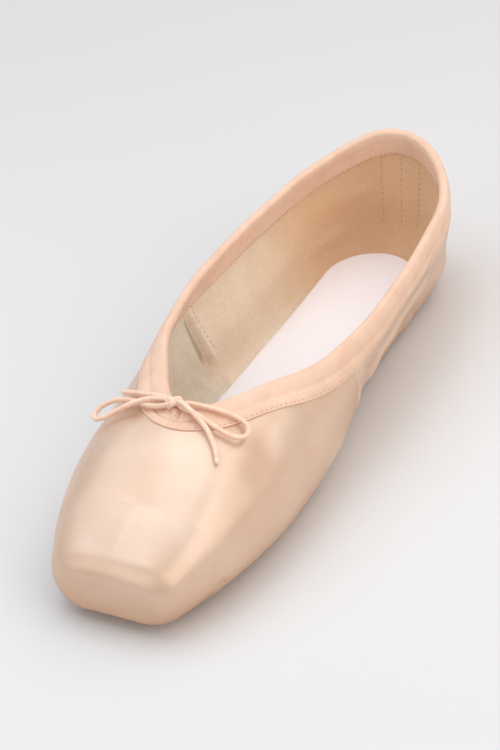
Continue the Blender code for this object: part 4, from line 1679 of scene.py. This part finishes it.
@dataclass
class Binding:
    """The tape folded over the collar, with the casing's round edge and its stitches.

    Attributes:
        upper: the upper that it is sewn to.
        outer: the outer leaf's rows from its lower edge up, as distance from the collar and height.
        inner: the inner leaf's rows from the collar down.
        outer_back, inner_back: distances of the rows on the leaves' undersides.
        casing: how far the round edge stands past the wall's half thickness.
        outer_row, inner_row: the stitches' distance from the collar and height, on each leaf.
    """

    upper: Upper
    outer: tuple[tuple[float, float], ...] = (
        (9.5, 0.05), (9.55, 0.30), (9.40, 0.52), (9.0, 0.58), (8.6, 0.44), (8.2, 0.56), (7.4, 0.66),
        (6.5, 0.68), (5.7, 0.62), (5.0, 0.46), (4.4, 0.62), (3.6, 0.86), (2.7, 0.98), (1.6, 1.00))
    inner: tuple[tuple[float, float], ...] = (
        (1.6, 0.90), (3.0, 0.85), (4.6, 0.74), (6.2, 0.66), (7.3, 0.60), (7.8, 0.48), (8.2, 0.55),
        (8.4, 0.30), (8.45, 0.05))
    outer_back: tuple[float, ...] = (0.9, 2.4, 4.6, 7.0, 8.8)
    inner_back: tuple[float, ...] = (6.8, 4.6, 2.4, 0.9)
    casing: float = 0.85
    outer_row: tuple[float, float] = (8.5, 0.46)
    inner_row: tuple[float, float] = (7.8, 0.5)

    def __post_init__(self) -> None:
        """Set out the collar's ring and the directions from it."""
        self.edges = self.upper.ring()
        outside, inside = self.edges
        self.half = np.linalg.norm(outside - inside, axis=1)[:, None] / 2
        self.through = unit(outside - inside)
        away = softened(unit(np.cross(ring_steps(outside), self.through))[:-1], 12)
        self.away = unit(np.vstack([away, away[:1]]))

    def leaf(self, skin: Skin, rows: Iterable[tuple[float, float]]) -> list[Array]:
        """Lay rings of points on a skin.

        Args:
            skin: the skin.
            rows: each ring's distance from the collar's edge and its height over the skin.

        Returns:
            The rings.
        """
        edge, side = (self.edges[0], 1) if skin is Skin.SATIN else (self.edges[1], -1)
        return [self.upper.laid(edge + width * self.away, side * height, skin) for width, height in rows]

    def rings(self) -> list[Array]:
        """Lay the rings of the whole tape, across the outer leaf, the casing, the inner leaf and back.

        Returns:
            The rings, the first repeated.
        """
        table = np.array(self.outer)
        fine = np.vstack([np.linspace(a, b, max(1, round(abs(b[0] - a[0]) / 0.42)), endpoint=False)
                          for a, b in zip(table, table[1:])] + [table[-1:]])
        rings = self.leaf(Skin.SATIN, fine)
        outside, inside = self.edges
        middle, reach = (outside + inside) / 2, self.half + self.casing
        for angle in np.radians((18, 45, 70, 90, 110, 135, 162)):
            rings.append(middle + reach * math.cos(angle) * self.through
                         - (0.3 + reach * 0.8 * math.sin(angle)) * self.away)
        skim = 0.04
        rings += self.leaf(Skin.LINING, (*self.inner, *((width, skim) for width in self.inner_back)))
        rings += [line - drop * self.away for line, drop in ((inside, 0.1), (middle, 0.15), (outside, 0.1))]
        rings += self.leaf(Skin.SATIN, [(width, skim) for width in self.outer_back])
        return rings + rings[:1]

    def build(self) -> None:
        """Make the tape and its two rows of stitches."""
        points = np.stack(self.rings(), 1)
        body = softened(points[:-1], 6)
        points = np.concatenate([body, body[:1]])
        surface = grid(points, grid_uvs(points, run_lengths(self.edges[0]))).merged().outward()
        tree = surface.tree()
        relief = sum(gather.heights(surface.points, tree) for gather in GATHERED_MOUTH)
        surface = surface.moved(surface.points + surface.normals() * relief[:, None])
        # The relief mark also paints shade into the tape's gathers.
        surface.marks = {"relief": relief}
        self.upper.shop.make("collar_binding", surface, "tape", "tape", "binding")
        rows = self.leaf(Skin.SATIN, [self.outer_row]) + self.leaf(Skin.LINING, [self.inner_row])
        self.upper.shop.sew("binding_stitches", rows, "tape")


@dataclass
class Soles:
    """The leather outsole and the covered insole board.

    Attributes:
        shop: the workshop.
        gap: between the outsole and the upper.
        clearance: between the upper and the insole.
        across: columns on each half of a sole's two faces.
    """

    shop: Workshop
    gap: float = 0.3
    clearance: float = 0.39
    across: int = 10

    def sole(self, outline: Outline, base: Callable[[float], float]) -> Surface:
        """Make a closed flat sole.

        Args:
            outline: its outline.
            base: gives the height of its underside at a distance along the shoe.

        Returns:
            The surface, marked with its edge.
        """
        (low_inset, low), *side, (high_inset, high) = outline.profile
        rows, uvs = [], []
        for y, width in outline.stations(self.shop.last):
            reach = [width - min(inset, 0.6 * width) for inset in (low_inset, high_inset)]
            half = [(share * reach[0], low) for share in np.linspace(0, 1, self.across)]
            half += [(width - min(inset, 0.5 * width), height) for inset, height in side]
            half += [(share * reach[1], high) for share in np.linspace(1, 0, self.across)]
            ring = [(x, y, base(y) + height) for x, height in half]
            ring += [(-x, y, z) for x, y, z in ring[-2::-1]]
            rows.append(ring)
            uvs.append([(y, x + z) for x, _, z in ring])
        flat = [0.0] * self.across
        # The edge mark gives the outsole its burnished edge and paints shade on the insole cover's edge.
        edge_burnish_and_shade = flat + [1.0] * len(side) + flat
        marks = np.tile(edge_burnish_and_shade + edge_burnish_and_shade[-2::-1], (len(rows), 1))
        marks[[0, -1]] = 1.0
        return self.capped(grid(np.array(rows), np.array(uvs), {"edge": marks}), *marks.shape)

    @staticmethod
    def capped(surface: Surface, rows: int, columns: int) -> Surface:
        """Close a sole's two ends.

        Args:
            surface: the sole's surface between its first row and its last.
            rows: how many rows it has.
            columns: how many columns it has.

        Returns:
            The closed surface.
        """
        count = (columns + 1) // 2
        for start, order in ((0, 1), ((rows - 1) * columns, -1)):
            for j in range(count // 2):
                near = [j, j + 1, count - 2 - j, count - 1 - j]
                for corners in (near, [columns - 1 - k for k in reversed(near)]):
                    face = tuple(start + k for k in dict.fromkeys(corners))[::order]
                    surface.faces.append(face)
                    surface.uvs.append(tuple((0.0, 0.0) for _ in face))
        return surface.merged().outward()

    def build(self) -> None:
        """Make both soles."""
        last = self.shop.last
        thickness = OUTSOLE.profile[-1][1]
        outsole = self.sole(OUTSOLE, lambda y: last.bed_height(y) - self.gap - thickness)
        self.shop.make("leather_outsole", outsole, "leather", "leather", "outsole")
        insole = self.sole(INSOLE, lambda y: last.bed_height(y)
                           + last.sizes_at(min(y, last.fan_centre))["wall"] + self.clearance)
        self.shop.make("insole_cover", insole, "cover", "cover", "insole")


@dataclass
class Seams:
    """The side seams' stitches, the heel's ribbon and the seams seen inside.

    Attributes:
        upper: the upper that they are sewn on.
        row_gap: distance between a side seam's rows.
        under_tape: points of a side seam that the tape hides.
        ribbon_width: half width of the heel's ribbon.
        ribbon_top: height of its upper end.
        ribbon_lift: height of its face over the satin.
        tab_width: half width of the tab under it.
        tab_length: how far the tab comes out below.
        rounding: length over which the ribbon's lower end rounds.
        hem: distance of the ribbon's stitches from its edge.
    """

    upper: Upper
    row_gap: float = 2.0
    under_tape: int = 6
    ribbon_width: float = 9.0
    ribbon_top: float = 42.0
    ribbon_lift: float = 0.55
    tab_width: float = 3.6
    tab_length: float = 9.0
    rounding: float = 5.0
    hem: float = 0.45

    def beside(self, line: Array, shifts: Array, height: float) -> Array:
        """Move a line sideways along the satin.

        Args:
            line: its points.
            shifts: how far each point moves.
            height: how far outside the satin the moved line runs.

        Returns:
            The moved points.
        """
        moved = []
        for place, step, shift in zip(line, np.gradient(line, axis=0), shifts):
            _, normal, _, _ = self.upper.trees[Skin.SATIN].find_nearest(Vector(place))
            side = np.cross(np.array(normal), step)
            moved.append(place + shift * side / np.linalg.norm(side))
        return self.upper.laid(np.array(moved), height)

    def side_rows(self) -> list[Array]:
        """Lay the rows of stitches on both side seams.

        Returns:
            Three rows a side, and a zigzag at each seam's foot.
        """
        rows = []
        for flip in BOTH_SIDES:
            line = splined(np.array(SEAM_LINE) * flip, 0.8)
            shown = line[self.under_tape:]
            for shift in (-self.row_gap, 0.0, self.row_gap):
                rows.append(self.beside(shown, np.full(len(shown), shift), 0.08))
            low = line[line[:, 2] < 15]
            zigzag = self.row_gap * (2 * np.abs((np.arange(len(low)) * 0.45) % 2 - 1) - 1)
            rows.append(self.beside(low, zigzag, 0.16))
        return rows

    def ribbon(self) -> tuple[Surface, list[Array]]:
        """Lay the heel's ribbon.

        Returns:
            Its surface and its rows of stitches.
        """
        last, laid = self.upper.shop.last, self.upper.laid
        spine = last.half[0][-1][::-1]
        spine = spine[spine[:, 2] < self.ribbon_top]
        spine = spine[spine[:, 1] > OUTSOLE.edge(last, 0)[-1, 1] - 0.5]
        spine = resampled(spine, round(run_lengths(spine)[-1] / 0.7) + 1)
        run = run_lengths(spine)
        start = run[-1] - self.tab_length - self.rounding
        rest = np.clip(1 - (run - start) / self.rounding, 0, 1)
        widths = self.tab_width + (self.ribbon_width - self.tab_width) * np.sqrt(1 - (1 - rest)**2)
        shares = np.concatenate([[-1.0], np.linspace(-0.97, 0.97, 23), [1.0]])
        rows = []
        for place, width in zip(spine, widths):
            line = np.array([place + (share * width, 0, 0) for share in shares])
            rows.append(laid(line, self.ribbon_lift))
            rows[-1][[0, -1]] = laid(line[[0, -1]], 0.05)
        for end in (0, -1):
            rows[end] = laid(rows[end], 0.05)
        points = np.array(rows)
        uvs = np.stack([np.repeat(run[:, None], len(shares), axis=1), shares[None] * widths[:, None]], 2)
        top = grid(points, uvs, {"relief": np.full(points.shape[:2], 0.2)}).towards((0, 1, 0))
        under = laid(points.reshape(-1, 3), -0.05)
        stitched = []
        for side in (-1, 1):
            edge = [place + (side * (width - self.hem), 0, 0) for place, width in zip(spine, widths)]
            stitched.append(laid(edge[3:-2], 0.6))
        return top.shell(under), stitched

    def inside_rows(self) -> list[Array]:
        """Lay the rows of stitches that show on the lining.

        Returns:
            Three rows at the heel and one on each side.
        """
        heel = [np.stack([np.full(30, x), np.full(30, 240.0), np.linspace(40, 12, 30)], 1)
                for x in (-self.ribbon_width, 0.0, self.ribbon_width)]
        side = np.array([(36.0, 131.5, 36.0), (34.0, 131.8, 26.0), (31.0, 132.3, 17.0)])
        lines = heel + [resampled(side * flip, 24) for flip in BOTH_SIDES[::-1]]
        return [self.upper.laid(line, -0.1, Skin.LINING) for line in lines]

    def build(self) -> None:
        """Make the stitches and the ribbon."""
        shop = self.upper.shop
        shop.sew("side_seam_stitches", self.side_rows(), "satin")
        ribbon, rows = self.ribbon()
        shop.make("heel_ribbon", ribbon, "ribbon", "satin")
        shop.sew("ribbon_stitches", rows, "satin")
        shop.sew("lining_stitches", self.inside_rows(), "satin")


# --- the drawstring ----------------------------------------------------------------

BOW: dict[str, tuple[Place, ...]] = {
    "loop_left": ((-5.6, 60.6, 50.4), (-9, 60.3, 50.2), (-13.2, 59.6, 49.2), (-17.6, 58.2, 47.6),
        (-21.8, 56, 45.4), (-25.6, 54.2, 43.2), (-28.6, 53.5, 41.5), (-31.4, 54.1, 40.1),
        (-33, 56.2, 39.7), (-33, 58.7, 40.2), (-31.3, 60.8, 41.5), (-28.4, 61.9, 42.9),
        (-24.4, 61.9, 44.5), (-20, 61, 45.9), (-15.8, 59.6, 47), (-11.6, 58.2, 47.9), (-8, 57.9, 48.7),
        (-5.2, 58.6, 49.4)),
    "end_left": ((-5.2, 62.3, 49.5), (-10, 62.9, 48.9), (-15, 63.7, 47.8), (-19.4, 64.8, 46.5),
        (-23.6, 66.3, 44.7), (-27.4, 67.7, 42.9)),
    "loop_right": ((1.2, 61.4, 49.8), (4.6, 62, 49.6), (8.6, 62.6, 49.1), (12.6, 63.2, 48.3),
        (16.4, 63.8, 47.2), (19.8, 63.9, 46), (22.7, 63, 44.9), (24.4, 60.9, 44.1), (24.2, 58.2, 43.9),
        (22.2, 56.3, 44.4), (19, 55.8, 45.4), (15.4, 56.2, 46.6), (11.6, 56.9, 47.6), (7.6, 57.9, 48.6),
        (4, 58.7, 49.3), (0.8, 59, 49.6)),
    "end_right": ((0.9, 59, 51.8), (4.2, 57.7, 50.9), (8.2, 56.1, 49.3), (11.9, 54.3, 47.6),
        (15.2, 51.5, 45.9), (18.2, 48.3, 44), (20.4, 44.8, 42.2)),
}


@dataclass
class Drawstring:
    """The collar's drawstring, tied in a small bow.

    Attributes:
        shop: the workshop.
        diameter: the cord's.
        knot: the knot's centre.
        strands: plaited strands that show round the cord.
        lay: length of one turn of the plait.
        sides: of the cord's surface.
        step: distance between its rings.
        easing: how often its bends are softened.
    """

    shop: Workshop
    diameter: float = 1.8
    knot: Place = (-2.4, 60.2, 50.4)
    strands: int = 4
    lay: float = 3.2
    sides: int = 16
    step: float = 0.32
    easing: int = 26

    def cord(self, name: str, route: tuple[Place, ...], nodes: tuple[str, ...],
             on_it: list[Piece]) -> None:
        """Args:
            name: the piece's name.
            route: the points that it goes through, from the casing's mouth to its free end.
            nodes: the CAD nodes that it replaces.
            on_it: not used.
        """
        line = softened(splined(route, self.step), self.easing, closed=False)
        run = run_lengths(line)[:, None]
        angles = np.linspace(0, 2 * math.pi, self.sides, endpoint=False)[None]
        turn = 2 * math.pi * run / self.lay
        plait = np.sin(self.strands / 2 * angles + turn) * np.sin(self.strands / 2 * angles - turn)
        thin = 1 - 0.22 * np.exp(-(run[-1] - run) / 1.2)
        surface = tube(line, self.diameter / 2 * (1 + 0.09 * plait) * thin)
        ends = np.linalg.norm(surface.points - line[-1], axis=1)
        surface.marks = {"tip": 1 - ease(0.9, 1.7, ends)}
        piece = self.shop.make(name, surface, "cord", "cord", *nodes)
        path = to_frame(line)
        tuple(path[0])

    def tied(self) -> Surface:
        """Tie the knot.

        Returns:
            A small trefoil of the same cord.
        """
        turns = np.linspace(0, 2 * math.pi, 97)
        x, y, z = self.knot
        trefoil = np.stack([x + 0.75 * (np.sin(turns) + 2 * np.sin(2 * turns)),
                            y + 0.6 * (np.cos(turns) - 2 * np.cos(2 * turns)),
                            z - 0.75 * np.sin(3 * turns)], 1)
        trefoil[-1] = trefoil[0]
        return tube(trefoil, np.full((len(trefoil), 12), 0.8), closed=True)

    def build(self) -> None:
        """Make the knot and the two cords that it ties."""
        knot = self.shop.make("bow_knot", self.tied(), "cord", "cord", "drawstring_knot")
        x, y, z = self.knot
        mouth_left, mouth_right = (x - 1.6, y - 1.4, z - 1.6), (x + 1.2, y + 0.4, z - 1.7)
        through, behind = (x, y - 0.6, z + 0.4), (x, y + 0.9, z - 0.4)
        self.cord("drawstring_from_left", (mouth_left, *BOW["loop_left"], through, *BOW["end_right"]),
                  ("drawstring_loop_left", "drawstring_end_right"), [knot])
        self.cord("drawstring_from_right", (mouth_right, *BOW["loop_right"], behind, *BOW["end_left"]),
                  ("drawstring_loop_right", "drawstring_end_left"), [])


# --- the studio --------------------------------------------------------------------

@dataclass(frozen=True)
class Light:
    """A soft square light that faces the shoe.

    Attributes:
        place: where it stands, in metres.
        size: length of its side, in metres.
        power: in watts.
        colour: its colour.
    """

    place: Place
    size: float
    power: float
    colour: Colour

    def build(self, name: str) -> None:
        """Add the light to the scene.

        Args:
            name: its name.
        """
        data = bpy.data.lights.new(name, "AREA")
        data.shape, data.size, data.energy, data.color = "SQUARE", self.size, self.power, self.colour
        lamp = added(name, data)
        lamp.location = self.place
        lamp.rotation_euler = (-Vector(self.place)).to_track_quat("-Z", "Y").to_euler()


LIGHTS: dict[str, Light] = {
    "key": Light((-0.52, -0.04, 1.15), 1.05, 5.0, (0.78, 1.0, 1.22)),
    "overhead": Light((0.05, 0.5, 1.1), 1.3, 6.5, (1.0, 0.98, 0.97)),
    "right fill": Light((1.05, -0.15, 0.8), 1.3, 7.5, (1.0, 0.965, 0.925)),
    "front fill": Light((-0.5, -1.2, 0.8), 1.0, 3.3, (1.0, 0.98, 0.97)),
}


@dataclass
class Studio:
    """A pale floor, soft lights and the camera.

    Attributes:
        azimuth, elevation, roll: the camera's angles in degrees.
        distance: from the camera to its target, in metres.
        target: what it looks at, in the last's millimetres.
        lens: its focal length over a 36 mm frame.
        shift: how far the frame is moved, as shares of its long side.
        near, far: the floor's colour before the shoe and behind it, the far one darker as painted shade.
        sky: the surrounding light's colour.
        sky_strength: its strength.
    """

    azimuth: float = 30.23
    elevation: float = 35.81
    roll: float = 6.51
    distance: float = 1.0
    target: Place = (0.0, 118.0, 25.0)
    lens: float = 136.0
    shift: tuple[float, float] = (-0.02, -0.01)
    near: Colour = (0.71, 0.685, 0.665)
    far: Colour = (0.63, 0.60, 0.575)
    sky: Colour = (0.80, 0.80, 0.82)
    sky_strength: float = 0.62

    def camera(self) -> None:
        """Set up the camera."""
        turn, rise, tilt = (math.radians(angle) for angle in (self.azimuth, self.elevation, self.roll))
        back = Vector((math.sin(turn) * math.cos(rise), -math.cos(turn) * math.cos(rise), math.sin(rise)))
        right = Vector((math.cos(turn), math.sin(turn), 0))
        up = back.cross(right)
        rolled_right = math.cos(tilt) * right - math.sin(tilt) * up
        rolled_up = math.sin(tilt) * right + math.cos(tilt) * up
        data = bpy.data.cameras.new("camera")
        data.lens, data.sensor_width = self.lens, 36.0
        data.shift_x, data.shift_y = self.shift
        data.clip_start, data.clip_end = 0.05, 20.0
        camera = added("camera", data)
        axes = Matrix((rolled_right, rolled_up, back)).transposed().to_4x4()
        place = Vector(to_frame(self.target)) + self.distance * back
        camera.matrix_world = Matrix.Translation(place) @ axes
        bpy.context.scene.camera = camera

    def floor(self) -> None:
        """Lay a plain pale floor, with painted shade making it a little darker behind the shoe."""
        material = bpy.data.materials.new("studio floor")
        material.use_nodes = True
        shader = material.node_tree.nodes["Principled BSDF"]
        shader.inputs["Roughness"].default_value = 0.8
        graph = Graph(material.node_tree)
        place = graph.add("ShaderNodeTexCoord").outputs["Object"]
        across, along, _ = graph.add("ShaderNodeSeparateXYZ", {0: place}).outputs
        view = math.radians(30)
        behind = graph.minus(graph.times(along, math.cos(view)), graph.times(across, math.sin(view)))
        # Painted shade: the floor darkens away from the camera, behind the shoe.
        graph.join(graph.mix(graph.span(behind, -0.05, 0.35), self.near, self.far), shader, "Base Color")
        mesh = bpy.data.meshes.new("studio_floor")
        half = 4.0
        mesh.from_pydata([(-half, -half, 0), (half, -half, 0), (half, half, 0), (-half, half, 0)], [],
                         [(0, 1, 2, 3)])
        mesh.materials.append(material)
        added("studio_floor", mesh)

    def build(self) -> None:
        """Make the floor, the lights, the surrounding light and the camera."""
        self.floor()
        for name, light in LIGHTS.items():
            light.build(name)
        world = bpy.data.worlds.new("studio")
        world.use_nodes = True
        background = world.node_tree.nodes["Background"]
        background.inputs["Color"].default_value = rgba(self.sky)
        background.inputs["Strength"].default_value = self.sky_strength
        bpy.context.scene.world = world
        bpy.context.scene.view_settings.view_transform = "Standard"
        self.camera()


def main() -> None:
    """Build the shoe and its studio in order."""
    logging.basicConfig(level=logging.INFO, format="%(name)s: %(message)s")
    shop = Workshop()
    Studio().build()
    Drawstring(shop).build()
    upper = Upper(shop)
    upper.build()
    Binding(upper).build()
    Soles(shop).build()
    Seams(upper).build()


if __name__ == "__main__":
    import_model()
    main()
